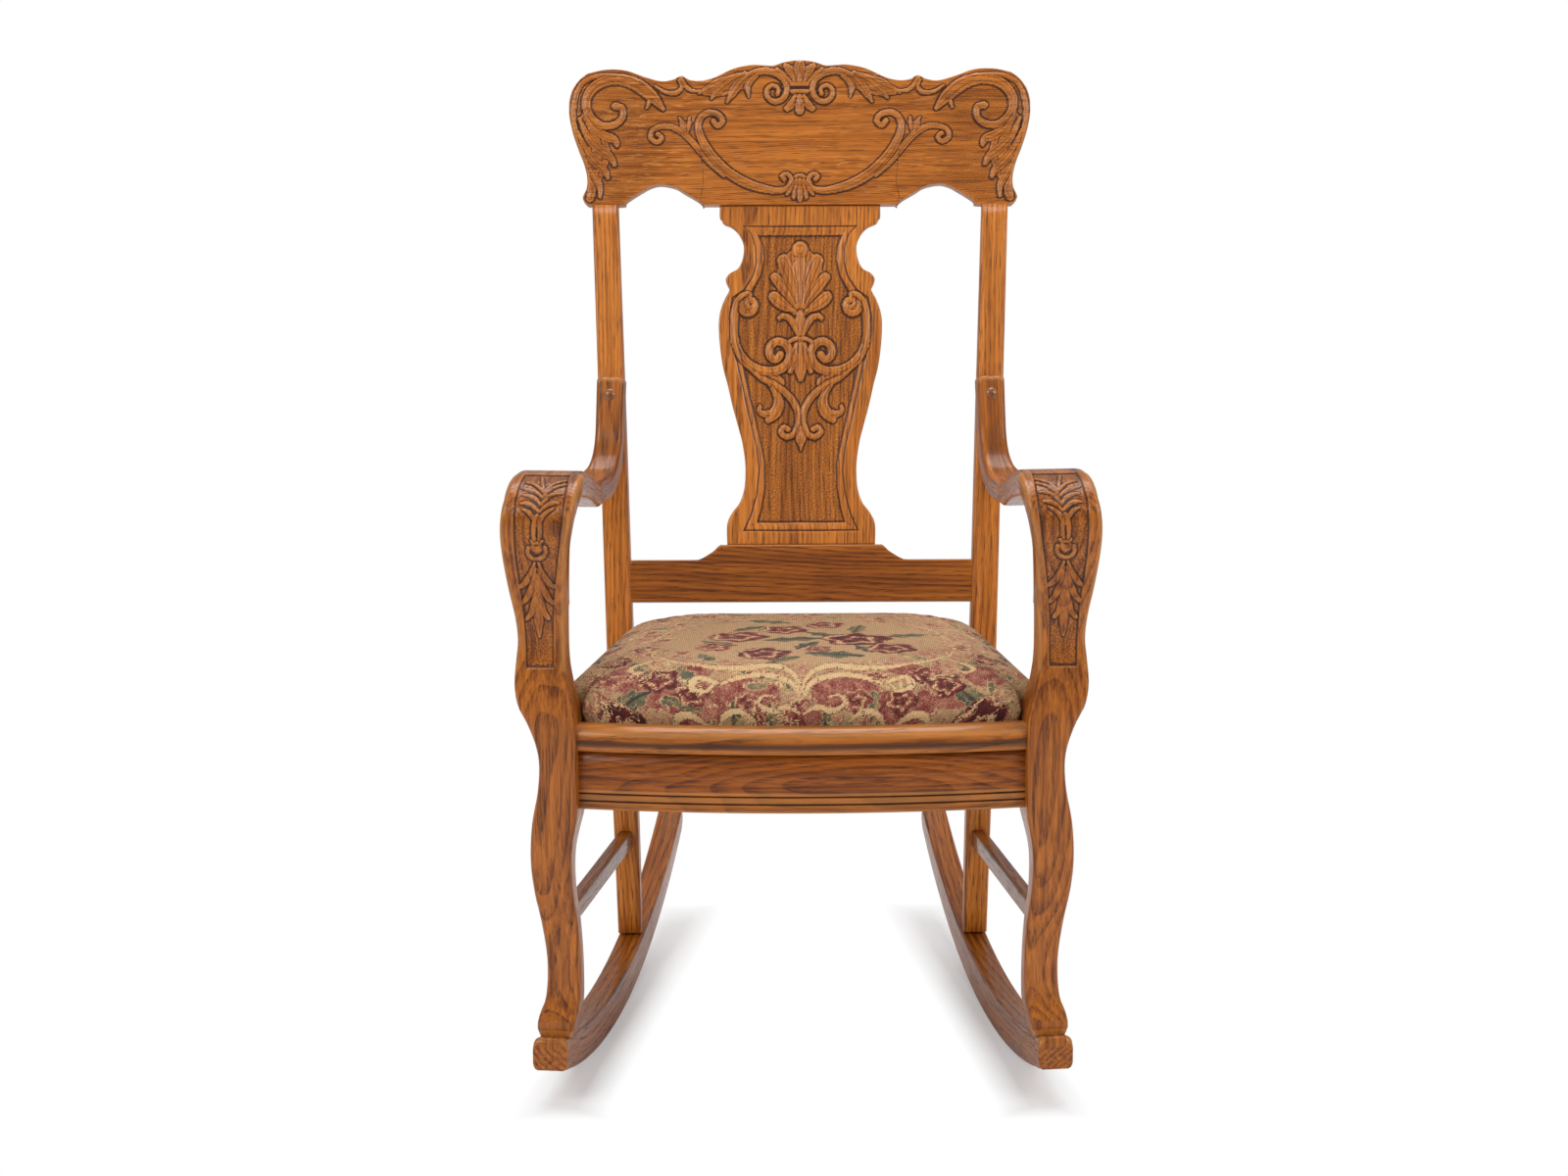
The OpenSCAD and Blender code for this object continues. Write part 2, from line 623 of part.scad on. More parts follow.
// All that lies behind the front faces of the posts at the seat
module behind_rail_end() {
    translate([-reach, post_y, 0]) cube([2 * reach, reach, reach]);
}
module right_seat_rail() {
    color(oak) right_seat_rail_blank();
}
module left_seat_rail() {
    color(oak) left_half() right_seat_rail_blank();
}
module right_seat_cap_blank() {
    difference() {
        side_frame() translate([side_cap_x - cap_w, leg_d + post_y, ledge_h]) rotate([90, 0, 0])
            linear_extrude(post_y) polygon(cap_section);
        behind_rail_end();
    }
}
module right_seat_cap() {
    color(oak) right_seat_cap_blank();
}
module left_seat_cap() {
    color(oak) left_half() right_seat_cap_blank();
}
rear_rail_w = 0.8 * rail_w;
module rear_seat_rail() {
    color(pale_wood) intersection() {
        difference() {
            translate([-reach, post_y, rail_low]) cube([2 * reach, rear_rail_w, rail_h + cap_h]);
            right_and_left() rear_rail_dowel_places() peg(dowel_d, dowel_l);
            right_and_left() rear_screw_place() screw_hole();
        }
        between_posts();
    }
}

// Side stretchers, from the front leg to the back post
stretcher_x = 0.32 * arm_w;
module right_stretcher_blank() {
    difference() {
        side_frame() translate([stretcher_x, 0, stretcher_h - stretcher_t])
            cube([stretcher_w, reach, stretcher_t]);
        side_frame() side_solid(concat(
            [[-leg_d, 0]], curve(scaled(leg_back_low_shares, leg_d, arm_h)), [[-leg_d, arm_h]]
        ), 0, arm_w);
        side_solid([
            [post_y + post_rake, 0], [post_y, ledge_h - apron_h], [post_y, bend_h],
            [2 * reach, bend_h], [2 * reach, 0]
        ], 0, reach);
        side_frame() stretcher_front_dowel_place() peg(dowel_d, dowel_l);
        side_frame() stretcher_rear_dowel_place() peg(dowel_d, dowel_l);
    }
}
module right_stretcher() {
    color(oak) right_stretcher_blank();
}
module left_stretcher() {
    color(oak) left_half() right_stretcher_blank();
}

// Dowels and the holes that they fill
module right_and_left() {
    children();
    left_half() children();
}
module crest_dowel_local() {
    translate([post_top_x, crest_d / 2, crest_t]) children();
}
module crest_dowel_place() {
    back_frame() crest_dowel_local() children();
}
module lower_rail_dowels_local() {
    for (s = dowel_rows_share)
        let (t = lower_rail_t + s * lower_rail_h)
            translate([post_x(t) - post_w / 2, splat_y, t]) rotate([0, 90, 0]) children();
}
module lower_rail_dowel_places() {
    back_frame() lower_rail_dowels_local() children();
}
module rear_rail_dowel_places() {
    for (s = dowel_rows_share)
        translate([post_bend_x - post_w / 2, post_y + rear_rail_w / 2, rail_low + s * rail_h])
            rotate([0, 90, 0]) children();
}
module apron_dowel_places() {
    for (s = dowel_rows_share)
        translate([half_opening, cap_front_y + cap_lip + rail_w / 2, apron_low + s * apron_h])
            rotate([0, 90, side_taper]) children();
}
module rail_front_dowel_places() {
    for (s = dowel_rows_share)
        translate([rail_x + rail_w / 2, leg_d, rail_low + s * rail_h]) rotate([90, 0, 0]) children();
}
module rail_rear_dowel_places() {
    for (s = dowel_rows_share)
        translate([rail_x + rail_w / 2, post_y, rail_low + s * rail_h]) rotate([90, 0, 0]) children();
}
module stretcher_front_dowel_place() {
    translate([stretcher_x + stretcher_w / 2, 0.79 * leg_d, stretcher_h - stretcher_t / 2])
        rotate([90, 0, 0]) children();
}
module stretcher_rear_dowel_place() {
    translate([stretcher_x + stretcher_w / 2, post_y + post_rake / 2, stretcher_h - stretcher_t / 2])
        rotate([90, 0, 0]) children();
}
module crest_dowels() {
    color(pale_wood) right_and_left() crest_dowel_place() peg(dowel_d, dowel_l);
}
module lower_rail_dowels() {
    color(pale_wood) right_and_left() lower_rail_dowel_places() peg(dowel_d, dowel_l);
}
module seat_rail_dowels() {
    color(pale_wood) right_and_left() {
        rear_rail_dowel_places() peg(dowel_d, dowel_l);
        apron_dowel_places() peg(dowel_d, dowel_l);
        side_frame() rail_front_dowel_places() peg(dowel_d, dowel_l);
        side_frame() rail_rear_dowel_places() peg(dowel_d, dowel_l);
    }
}
module stretcher_dowels() {
    color(pale_wood) right_and_left() side_frame() {
        stretcher_front_dowel_place() peg(dowel_d, dowel_l);
        stretcher_rear_dowel_place() peg(dowel_d, dowel_l);
    }
}

// Corner blocks with two screws each, and a screw up into the slip seat
block_l = 2.3 * rail_w;
block_drop = 0.1 * cap_h;
block_h = 0.72 * rail_h;
block_z = ledge_h - block_drop - block_h;
block_screw_d = 0.17 * rail_w;
block_screw_head_d = 2 * block_screw_d;
block_screw_in = 0.3 * rail_w;
block_screw_out = 0.55 * rail_w;
side_screw_z = block_z + 0.2 * block_h;
end_screw_z = block_z + 0.55 * block_h;
front_screw_y = leg_d + 0.26 * block_l;
rear_screw_y = post_y - 0.2 * block_l;
apron_screw_x = half_opening - 0.46 * block_l;
rear_screw_x = post_bend_x - post_w / 2 - 0.4 * block_l;
function apron_back_y(x) = bow_center_y - sqrt(pow(apron_r - rail_w, 2) - x * x);
function side_point(x, y) = [
    half_opening + x * cos(side_taper) - y * sin(side_taper), x * sin(side_taper) + y * cos(side_taper)
];
module side_screw_places() {
    side_frame() for (y = [front_screw_y, rear_screw_y])
        translate([rail_x, y, side_screw_z]) rotate([0, 90, 0]) children();
}
module apron_screw_place() {
    translate([apron_screw_x, apron_back_y(apron_screw_x), end_screw_z]) rotate([90, 0, 0]) children();
}
module rear_screw_place() {
    translate([rear_screw_x, post_y, end_screw_z]) rotate([-90, 0, 0]) children();
}
module block_screw() {
    translate([0, 0, -block_screw_out]) cylinder(d = block_screw_d, h = block_screw_out + block_screw_in);
    translate([0, 0, -block_screw_out - block_screw_d])
        cylinder(d = block_screw_head_d, h = block_screw_d);
}
module block_screw_way() {
    translate([0, 0, -block_screw_out]) cylinder(d = block_screw_d, h = block_screw_out + block_screw_in);
    translate([0, 0, -block_screw_out - reach]) cylinder(d = block_screw_head_d, h = reach);
}
module screw_hole() {
    translate([0, 0, -cut]) cylinder(d = block_screw_d, h = block_screw_in + cut);
}
module block_screw_ways() {
    side_screw_places() block_screw_way();
    apron_screw_place() block_screw_way();
    rear_screw_place() block_screw_way();
    seat_screw_places() seat_screw_way();
}
module front_right_block_blank() {
    difference() {
        translate([0, 0, block_z]) linear_extrude(block_h) polygon([
            side_point(rail_x, 0), side_point(rail_x, leg_d + block_l), side_point(-block_l, leg_d),
            side_point(-block_l, 0)
        ]);
        side_frame() cube([arm_w, leg_d, reach]);
        bow_ring(2 * bow_r, apron_r - rail_w, 0, reach);
        block_screw_ways();
    }
}
module rear_right_block_blank() {
    corner_x = side_point(rail_x, post_y)[0];
    difference() {
        translate([0, 0, block_z]) linear_extrude(block_h) polygon([
            side_point(rail_x, post_y - block_l), side_point(rail_x, post_y + post_d),
            [corner_x - block_l, post_y]
        ]);
        behind_rail_end();
        block_screw_ways();
    }
}
module front_right_block() {
    color(pale_wood) front_right_block_blank();
}
module front_left_block() {
    color(pale_wood) left_half() front_right_block_blank();
}
module rear_right_block() {
    color(pale_wood) rear_right_block_blank();
}
module rear_left_block() {
    color(pale_wood) left_half() rear_right_block_blank();
}
module block_screws() {
    color("dimgray") right_and_left() {
        side_screw_places() block_screw();
        apron_screw_place() block_screw();
        rear_screw_place() block_screw();
    }
}

// Slip seat outline, right half from the middle of the front to the middle of the rear
seat_clear = 0.02 * rail_w;
seat_rim_x = side_cap_x - cap_w - seat_clear;
seat_front_r = bow_r - cap_w - seat_clear;
seat_rear_y = post_y - seat_clear;
seat_middle_y = 0.55 * post_y;
front_steps = 5;
function seat_front_y(x) = bow_center_y - sqrt(seat_front_r * seat_front_r - x * x);
seat_corner = side_point(-seat_clear, cap_w + seat_clear);
seat_right = concat(
    [for (k = [0 : front_steps]) let (x = seat_corner[0] * k / front_steps) [x, seat_front_y(x)]],
    [
        side_point(-seat_clear, leg_d + seat_clear), side_point(seat_rim_x, leg_d + seat_clear),
        side_point(seat_rim_x, leg_d + 0.25 * post_y), side_point(seat_rim_x, leg_d + 0.5 * post_y),
        side_point(seat_rim_x, 0.87 * post_y), side_point(0.9 * seat_rim_x, 0.95 * post_y)
    ],
    [for (s = [0.72, 0.5, 0.25, 0]) [s * half_opening, seat_rear_y]]
);
seat_outline = concat(
    seat_right, [for (i = [len(seat_right) - 2 : -1 : 1]) let (p = seat_right[i]) [-p[0], p[1]]]
);
function seat_ring(s) = [for (p = seat_outline) [s * p[0], seat_middle_y + s * (p[1] - seat_middle_y)]];

cover_t = 1.2;
flap_z = ledge_h + gap;
slip_z = flap_z + cover_t + gap;
slip_h = 0.73 * rail_w;
slip_w = 1.73 * rail_w;
slip_top = slip_z + slip_h;
slip_share = 0.978;
slip_inner_share = 0.79;
cap_top = ledge_h + cap_h;
strap_t = 1.5;
burlap_t = 0.8;
padding_z = slip_top + 2 * strap_t + burlap_t + gap;

// Screws up through the blocks into the slip frame
module seat_screw_points() {
    for (p = [
        side_point(-0.07 * block_l, leg_d + 0.54 * block_l),
        side_point(rail_x - 0.1 * block_l, post_y - 0.66 * block_l)
    ])
        translate(p) children();
}
module seat_screw_places() {
    translate([0, 0, block_z + 0.4 * block_h]) seat_screw_points() children();
}
module seat_screw() {
    cylinder(d = block_screw_d, h = slip_z + 0.6 * slip_h - block_z - 0.4 * block_h);
    translate([0, 0, -block_screw_d]) cylinder(d = block_screw_head_d, h = block_screw_d);
}
module seat_screw_way() {
    cylinder(d = block_screw_d, h = slip_z + 0.6 * slip_h - block_z - 0.4 * block_h);
    translate([0, 0, -reach / 4]) cylinder(d = block_screw_head_d, h = reach / 4);
}
module seat_screws() {
    color("dimgray") right_and_left() seat_screw_places() seat_screw();
}

// Slip frame of four bars
slip_front_y = seat_middle_y - slip_inner_share * (seat_middle_y - seat_front_y(0)) + 0.2 * slip_w;
slip_rear_y = seat_middle_y + slip_inner_share * (seat_rear_y - seat_middle_y);
module slip_ring() {
    difference() {
        polygon(seat_ring(slip_share));
        polygon(seat_ring(slip_inner_share));
    }
}
module slip_bar(x0, y0, x1, y1) {
    color(pale_wood) difference() {
        translate([0, 0, slip_z]) linear_extrude(slip_h) intersection() {
            slip_ring();
            translate([x0, y0]) square([x1 - x0, y1 - y0]);
        }
        right_and_left() seat_screw_places() seat_screw_way();
        right_and_left() slip_dowel_places() peg(slip_dowel_d, dowel_l);
        cover_tack_places() tack_hole();
        webbing_tack_places() tack_hole();
    }
}
slip_dowel_d = 0.4 * slip_h;
slip_dowels_share = [0.82, 0.885];
module slip_dowel_places() {
    for (k = [0, 1]) let (y = [slip_front_y, slip_rear_y][k])
        translate([slip_dowels_share[k] * side_point(seat_rim_x, y)[0], y, slip_z + slip_h / 2])
            rotate([90, 0, 0]) children();
}
module slip_frame_front() {
    slip_bar(-reach, 0, reach, slip_front_y);
}
module slip_frame_rear() {
    slip_bar(-reach, slip_rear_y, reach, reach);
}
module slip_frame_left() {
    slip_bar(-reach, slip_front_y, 0, slip_rear_y);
}
module slip_frame_right() {
    slip_bar(0, slip_front_y, reach, slip_rear_y);
}
module slip_frame_dowels() {
    color(pale_wood) right_and_left() slip_dowel_places() peg(slip_dowel_d, dowel_l);
}

// Webbing, three straps each way, tacked to the top of the slip frame
strap_w = 0.21 * half_opening;
strap_lap = 0.5 * slip_w;
strap_front_y = slip_front_y - strap_lap;
strap_rear_y = slip_rear_y + strap_lap;
strap_places_share = [-0.48, 0, 0.48];
strap_rows_share = [0.22, 0.5, 0.78];
strap_cross_share = 0.89;
function strap_row_y(s) = slip_front_y + s * (slip_rear_y - slip_front_y);
function strap_half_l(y) =
    strap_cross_share * side_point(seat_rim_x, y)[0];
module webbing_lengthways() {
    color("tan") difference() {
        for (s = strap_places_share)
            translate([s * half_opening - strap_w / 2, strap_front_y, slip_top])
                cube([strap_w, strap_rear_y - strap_front_y, strap_t]);
        webbing_tack_places() tack_hole();
    }
}
module webbing_crossways() {
    color("tan") for (s = strap_rows_share)
        translate([-strap_half_l(strap_row_y(s)), strap_row_y(s) - strap_w / 2, slip_top + strap_t])
            cube([2 * strap_half_l(strap_row_y(s)), strap_w, strap_t]);
}
module burlap() {
    color("darkkhaki") translate([0, 0, slip_top + 2 * strap_t]) linear_extrude(burlap_t)
        polygon(seat_ring(slip_share));
}

// Cushion of stacked rings: each is [share of the outline, share of the crown's height]
crown_shares = [
    [0.99, -0.43], [0.988, 0], [1, 0.2], [0.99, 0.4], [0.96, 0.58], [0.9, 0.73], [0.8, 0.86],
    [0.66, 0.94], [0.46, 0.985], [0.22, 1]
];
module crown_solid(rings) {
    n = len(seat_outline);
    top = len(rings) - 1;
    points = concat(
        [for (r = rings) each [for (p = seat_ring(r[0])) [p[0], p[1], r[1]]]],
        [[0, seat_middle_y, rings[0][1]], [0, seat_middle_y, rings[top][1]]]
    );
    walls = [
        for (k = [0 : top - 1]) for (i = [0 : n - 1])
            let (a = k * n + i, b = k * n + (i + 1) % n, c = b + n, d = a + n)
                each [[a, d, c], [a, c, b]]
    ];
    base = [for (i = [0 : n - 1]) [n * (top + 1), i, (i + 1) % n]];
    roof = [for (i = [0 : n - 1]) [n * (top + 1) + 1, top * n + (i + 1) % n, top * n + i]];
    polyhedron(points, concat(walls, base, roof));
}
skin_share = cover_t / half_opening;
module seat_cover() {
    color("rosybrown") {
        difference() {
            crown_solid([for (r = crown_shares) [r[0], max(flap_z, cap_top + r[1] * crown_h)]]);
            crown_solid([
                for (r = crown_shares)
                    [r[0] - skin_share, r[1] < 0 ? flap_z - cover_t : cap_top + r[1] * crown_h - cover_t]
            ]);
        }
        translate([0, 0, flap_z]) linear_extrude(cover_t) difference() {
            polygon(seat_ring(crown_shares[0][0] - skin_share / 2));
            polygon(seat_ring(flap_inner_share));
            cover_tack_points() circle(d = tack_d);
            right_and_left() seat_screw_points() circle(d = block_screw_d);
        }
    }
}
flap_inner_share = 0.9;
padding_share = skin_share + gap / half_opening;
function padding_ring_z(s) =
    s < 0 ? padding_z : max(padding_z + gap, cap_top + s * crown_h) - cover_t - gap;
module seat_padding() {
    color("linen") crown_solid([for (r = crown_shares) [r[0] - padding_share, padding_ring_z(r[1])]]);
}

// Tacks, through the flap from below and through the webbing from above
tack_d = 1.6;
tack_head_d = 6;
tack_head_t = 1;
tack_l = 0.35 * slip_h;
module tack() {
    cylinder(d = tack_d, h = tack_l);
    translate([0, 0, -tack_head_t]) cylinder(d = tack_head_d, h = tack_head_t);
}
tack_rows_share = 0.925;
module cover_tack_points() {
    ring = seat_ring(tack_rows_share);
    for (i = [1 : 2 : len(ring) - 1]) translate(ring[i]) children();
}
module cover_tack_places() {
    translate([0, 0, flap_z]) cover_tack_points() children();
}
// Hole that a tack driven from either side leaves
module tack_hole() {
    cylinder(d = tack_d, h = 2 * tack_l, center = true);
}
module cover_tacks() {
    color("silver") cover_tack_places() tack();
}
module webbing_tack_places() {
    for (s = strap_places_share) for (e = [-0.3, 0, 0.3]) {
        translate([s * half_opening + e * strap_w, strap_front_y + 0.25 * strap_lap, slip_top + strap_t])
            children();
        translate([s * half_opening + e * strap_w, strap_rear_y - 0.25 * strap_lap, slip_top + strap_t])
            children();
    }
}
module webbing_tacks() {
    color("silver") webbing_tack_places() mirror([0, 0, 1]) tack();
}
module dust_cover() {
    color("dimgray") difference() {
        translate([0, 0, slip_z - gap - dust_t]) linear_extrude(dust_t) polygon(seat_ring(dust_share));
        right_and_left() seat_screw_places() seat_screw_way();
    }
}
dust_t = 0.5;
dust_share = 0.897;

// The whole chair stands with the middle of its depth over the origin
tail_y = side_point(runner_x + runner_w / 2, runner_back)[1];
mid_y = (tail_y + cap_front_y - seat_bow) / 2;
module placed() {
    translate([0, -mid_y, 0]) children();
}

placed() left_runner();
placed() right_runner();
placed() left_arm_and_leg();
placed() right_arm_and_leg();
placed() left_back_post();
placed() right_back_post();
placed() crest_rail();
placed() splat();
placed() lower_back_rail();
placed() front_apron();
placed() front_seat_cap();
placed() left_seat_rail();
placed() right_seat_rail();
placed() left_seat_cap();
placed() right_seat_cap();
placed() rear_seat_rail();
placed() left_stretcher();
placed() right_stretcher();
placed() front_left_block();
placed() front_right_block();
placed() rear_left_block();
placed() rear_right_block();
placed() arm_screws();
placed() left_arm_plug();
placed() right_arm_plug();
placed() runner_screws();
placed() block_screws();
placed() seat_screws();
placed() crest_dowels();
placed() lower_rail_dowels();
placed() seat_rail_dowels();
placed() stretcher_dowels();
placed() slip_frame_front();
placed() slip_frame_rear();
placed() slip_frame_left();
placed() slip_frame_right();
placed() slip_frame_dowels();
placed() webbing_lengthways();
placed() webbing_crossways();
placed() burlap();
placed() seat_padding();
placed() seat_cover();
placed() cover_tacks();
placed() webbing_tacks();
placed() dust_cover();
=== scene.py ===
import math
from functools import partial

import bmesh
import bpy
import numpy as np
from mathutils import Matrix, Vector, noise
from mathutils.geometry import delaunay_2d_cdt


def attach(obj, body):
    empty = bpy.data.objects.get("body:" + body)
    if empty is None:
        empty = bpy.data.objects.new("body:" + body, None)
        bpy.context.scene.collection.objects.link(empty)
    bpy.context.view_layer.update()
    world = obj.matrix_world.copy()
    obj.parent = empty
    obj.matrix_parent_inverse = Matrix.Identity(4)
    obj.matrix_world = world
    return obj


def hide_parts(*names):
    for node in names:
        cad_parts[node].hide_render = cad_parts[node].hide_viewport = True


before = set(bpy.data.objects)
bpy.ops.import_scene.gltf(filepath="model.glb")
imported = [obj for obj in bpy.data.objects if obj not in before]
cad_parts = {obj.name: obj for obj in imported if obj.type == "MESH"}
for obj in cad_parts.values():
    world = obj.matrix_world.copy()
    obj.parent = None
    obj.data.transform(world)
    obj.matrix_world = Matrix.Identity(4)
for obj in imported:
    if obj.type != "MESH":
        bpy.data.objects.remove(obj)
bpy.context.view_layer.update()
scene = bpy.context.scene
print("frame loaded:", len(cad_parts), "nodes")

mm = 0.001

# The camera stands where the photographer's did: low, a long lens, a little to the left of the chair's middle line
cameraSetup = {"place": (0.0, -3.3599, 1.06), "tiltDown": 9.33, "roll": 0.2, "focal": 65.81, "shiftX": -0.01}


def addObject(name, data):
    item = bpy.data.objects.new(name, data)
    scene.collection.objects.link(item)
    return item


def makeCamera(setup):
    data = bpy.data.cameras.new("camera")
    data.lens = setup["focal"]
    data.sensor_width = 36
    data.shift_x = setup["shiftX"]
    data.clip_end = 50
    camera = addObject("camera", data)
    camera.location = setup["place"]
    camera.rotation_euler = (math.radians(90 - setup["tiltDown"]), math.radians(setup["roll"]), 0)
    scene.camera = camera


makeCamera(cameraSetup)

# Sizes that several pieces share, in millimetres, as the frame was built
chair = {
    "halfOpening": 241.0, "taper": 7.4, "middleY": 359.9, "postY": 425.0, "bendZ": 420.0, "lean": 13.0,
    "armWidth": 77.0, "armHeight": 684.0, "armThick": 28.0, "legDepth": 43.0, "armDip": 636.0,
    "riseRadius": 70.0, "armEnd": 745.0, "armEndThick": 24.0, "crestT": 548.5,
}
# Runners: rocking edge, upper edge and plan; legs and posts reach "sunk" below the upper edge
runner = {"lowY": 262.0, "radius": 1020.0, "topRadius": 1120.0, "height": 41.0, "width": 31.5, "blockWidth": 38.0,
          "front": -20.0, "back": 745.0, "centreX": 30.8, "edge": 3.5, "noseEdge": 7.5, "nose": 8.5, "tail": 11.5,
          "sunk": 0.8}
taperCos, taperSin = math.cos(math.radians(chair["taper"])), math.sin(math.radians(chair["taper"]))
leanCos, leanSin = math.cos(math.radians(chair["lean"])), math.sin(math.radians(chair["lean"]))
leanTan = leanSin / leanCos


# Points of a smooth curve through the given points
def smoothCurve(points, steps=4):
    points = np.array(points, float)
    last = len(points) - 1
    out = []
    for i in range(last):
        a, b, c, d = points[max(i - 1, 0)], points[i], points[i + 1], points[min(i + 2, last)]
        for t in np.arange(steps) / steps:
            bend = (2 * a - 5 * b + 4 * c - d) * t * t + (3 * b - a - 3 * c + d) * t ** 3
            out.append(0.5 * (2 * b + (c - a) * t + bend))
    out.append(points[last])
    return np.array(out)


def arcPoints(centre, radius, start, end, steps):
    turn = np.radians(np.linspace(start, end, steps))
    rx, ry = radius if isinstance(radius, tuple) else (radius, radius)
    return np.stack([centre[0] + rx * np.cos(turn), centre[1] + ry * np.sin(turn)], -1)


def lengthsAlong(points):
    return np.concatenate([[0], np.cumsum(np.linalg.norm(np.diff(points, axis=0), axis=1))])


# The same line with its points at the given shares of its length
def resampled(points, shares):
    along = lengthsAlong(points)
    return np.stack([np.interp(np.array(shares) * along[-1], along, points[:, k]) for k in range(points.shape[1])], -1)


# A point of the right side: x out from the leg's inner face, y back along the side, z up
def sidePoint(x, y, z):
    x, y, z = np.broadcast_arrays(*(np.asarray(value, float) for value in (x, y, z)))
    place = [chair["halfOpening"] + x * taperCos - y * taperSin, x * taperSin + y * taperCos - chair["middleY"], z]
    return np.stack(place, -1) * mm


# A point of the leaning back: x across, y through it, t up along it
def backPoint(x, y, t):
    x, y, t = np.broadcast_arrays(*(np.asarray(value, float) for value in (x, y, t)))
    place = [x, chair["postY"] - chair["middleY"] + y * leanCos + t * leanSin,
             chair["bendZ"] + t * leanCos - y * leanSin]
    return np.stack(place, -1) * mm


def mirrored(points):
    return points * np.array([-1.0, 1.0, 1.0])


# Heights of the runner's rocking edge and of its upper edge at a place along the side
def runnerLow(y):
    return runner["radius"] - np.sqrt(runner["radius"] ** 2 - (y - runner["lowY"]) ** 2)


def runnerTop(y):
    return runner["height"] + runner["topRadius"] - np.sqrt(runner["topRadius"] ** 2 - (y - runner["lowY"]) ** 2)


def meshPoints(mesh):
    flat = np.empty(len(mesh.vertices) * 3)
    mesh.vertices.foreach_get("co", flat)
    return flat.reshape(-1, 3)


# The mesh that an object's modifiers make of it
def evaluatedMesh(holder):
    return bpy.data.meshes.new_from_object(holder.evaluated_get(bpy.context.evaluated_depsgraph_get()))


def addValues(mesh, name, kind, values):
    field = {"FLOAT": "value", "FLOAT_VECTOR": "vector", "FLOAT_COLOR": "color"}[kind]
    mesh.attributes.new(name, kind, "POINT").data.foreach_set(field, np.asarray(values, np.float32).ravel())


# How deep each point lies below the surface round it, in millimetres, found by smoothing the mesh a few times;
# where its points lie further apart than "coarse" the smoothing can't tell, and the depth fades to nothing
def hollowDepth(mesh, rounds=7, coarse=4.0, fade=1.5):
    count, spots = len(mesh.vertices), meshPoints(mesh)
    normals, ends = np.empty(count * 3), np.empty(len(mesh.edges) * 2, int)
    mesh.vertices.foreach_get("normal", normals)
    mesh.edges.foreach_get("vertices", ends)
    normals, ends = normals.reshape(-1, 3), ends.reshape(-1, 2)
    both = np.concatenate([ends, ends[:, ::-1]])
    shared = np.maximum(np.bincount(both[:, 0], minlength=count), 1)
    smooth = spots.copy()
    for _ in range(rounds):
        total = np.stack([np.bincount(both[:, 0], smooth[both[:, 1], k], count) for k in range(3)], -1)
        smooth = (smooth + total / shared[:, None]) / 2
    span = np.linalg.norm(spots[both[:, 0]] - spots[both[:, 1]], axis=1)
    span = np.bincount(both[:, 0], span, count) / shared / mm
    return ((smooth - spots) * normals).sum(1) / mm * np.clip((coarse - span) / fade, 0, 1)


# A mesh object in place of one frame node, with where each point lies along the grain; it rides on the chair
def makePiece(name, node, points, faces, grain, material, darkening=None):
    mesh = bpy.data.meshes.new(name)
    mesh.from_pydata([tuple(p) for p in points], [], [tuple(f) for f in faces])
    addValues(mesh, "grain", "FLOAT_VECTOR", grain)
    # darkening: depth added to the hollow depth, so the oak material paints the spot darker
    if darkening is not None:
        addValues(mesh, "darkening", "FLOAT", darkening)
    mesh.update()
    build = bmesh.new()
    build.from_mesh(mesh)
    bmesh.ops.remove_doubles(build, verts=build.verts, dist=1e-6)
    bmesh.ops.recalc_face_normals(build, faces=build.faces)
    build.to_mesh(mesh)
    build.free()
    mesh.shade_smooth()
    addValues(mesh, "hollow", "FLOAT", hollowDepth(mesh))
    mesh.materials.append(material)
    piece = addObject(name, mesh)
    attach(piece, "root")
    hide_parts(node)
    return piece


# The right piece and its mirror image, each with its own place in the wood's grain
def makePair(name, node, points, faces, grain, shifts, material, darkening=None):
    for side, place, shift in (("right", points, shifts[0]), ("left", mirrored(points), shifts[1])):
        makePiece(side + name, side + "_" + node, place, faces, grain * mm + shift, material, darkening)


# Places round a rounded rectangle, as shares across and through, and which of them are on the front
def roundedRing(width, depth, radius, counts, cornerSteps=4):
    radius = min(radius, 0.45 * width, 0.45 * depth)
    across, through, onFront = [], [], []
    corners = [(width - radius, radius, -90), (width - radius, depth - radius, 0),
               (radius, depth - radius, 90), (radius, radius, 180)]
    edges = [((radius, 0), (width - radius, 0)), ((width, radius), (width, depth - radius)),
             ((width - radius, depth), (radius, depth)), ((0, depth - radius), (0, radius))]
    for (start, end), (cx, cy, turn), count in zip(edges, corners, counts):
        for t in np.arange(count) / count:
            across.append(start[0] + (end[0] - start[0]) * t)
            through.append(start[1] + (end[1] - start[1]) * t)
            onFront.append(start[1] == 0)
        for t in np.arange(cornerSteps) / cornerSteps:
            angle = math.radians(turn + 90 * t)
            across.append(cx + radius * math.cos(angle))
            through.append(cy + radius * math.sin(angle))
            onFront.append(False)
    return np.array(across) / width, np.array(through) / depth, np.array(onFront)


# Faces that join rings of equal count, one after another
def bandFaces(rings, count):
    faces = []
    for r in range(rings - 1):
        for k in range(count):
            a, b = r * count + k, r * count + (k + 1) % count
            faces.append((a, b, b + count, a + count))
    return faces


# The same with a fan at each end, to a first and a last middle point after the rings
def ringFaces(rings, count):
    faces, first, final = bandFaces(rings, count), rings * count, (rings - 1) * count
    for k in range(count):
        following = (k + 1) % count
        faces += [(first, following, k), (first + 1, final + k, final + following)]
    return faces


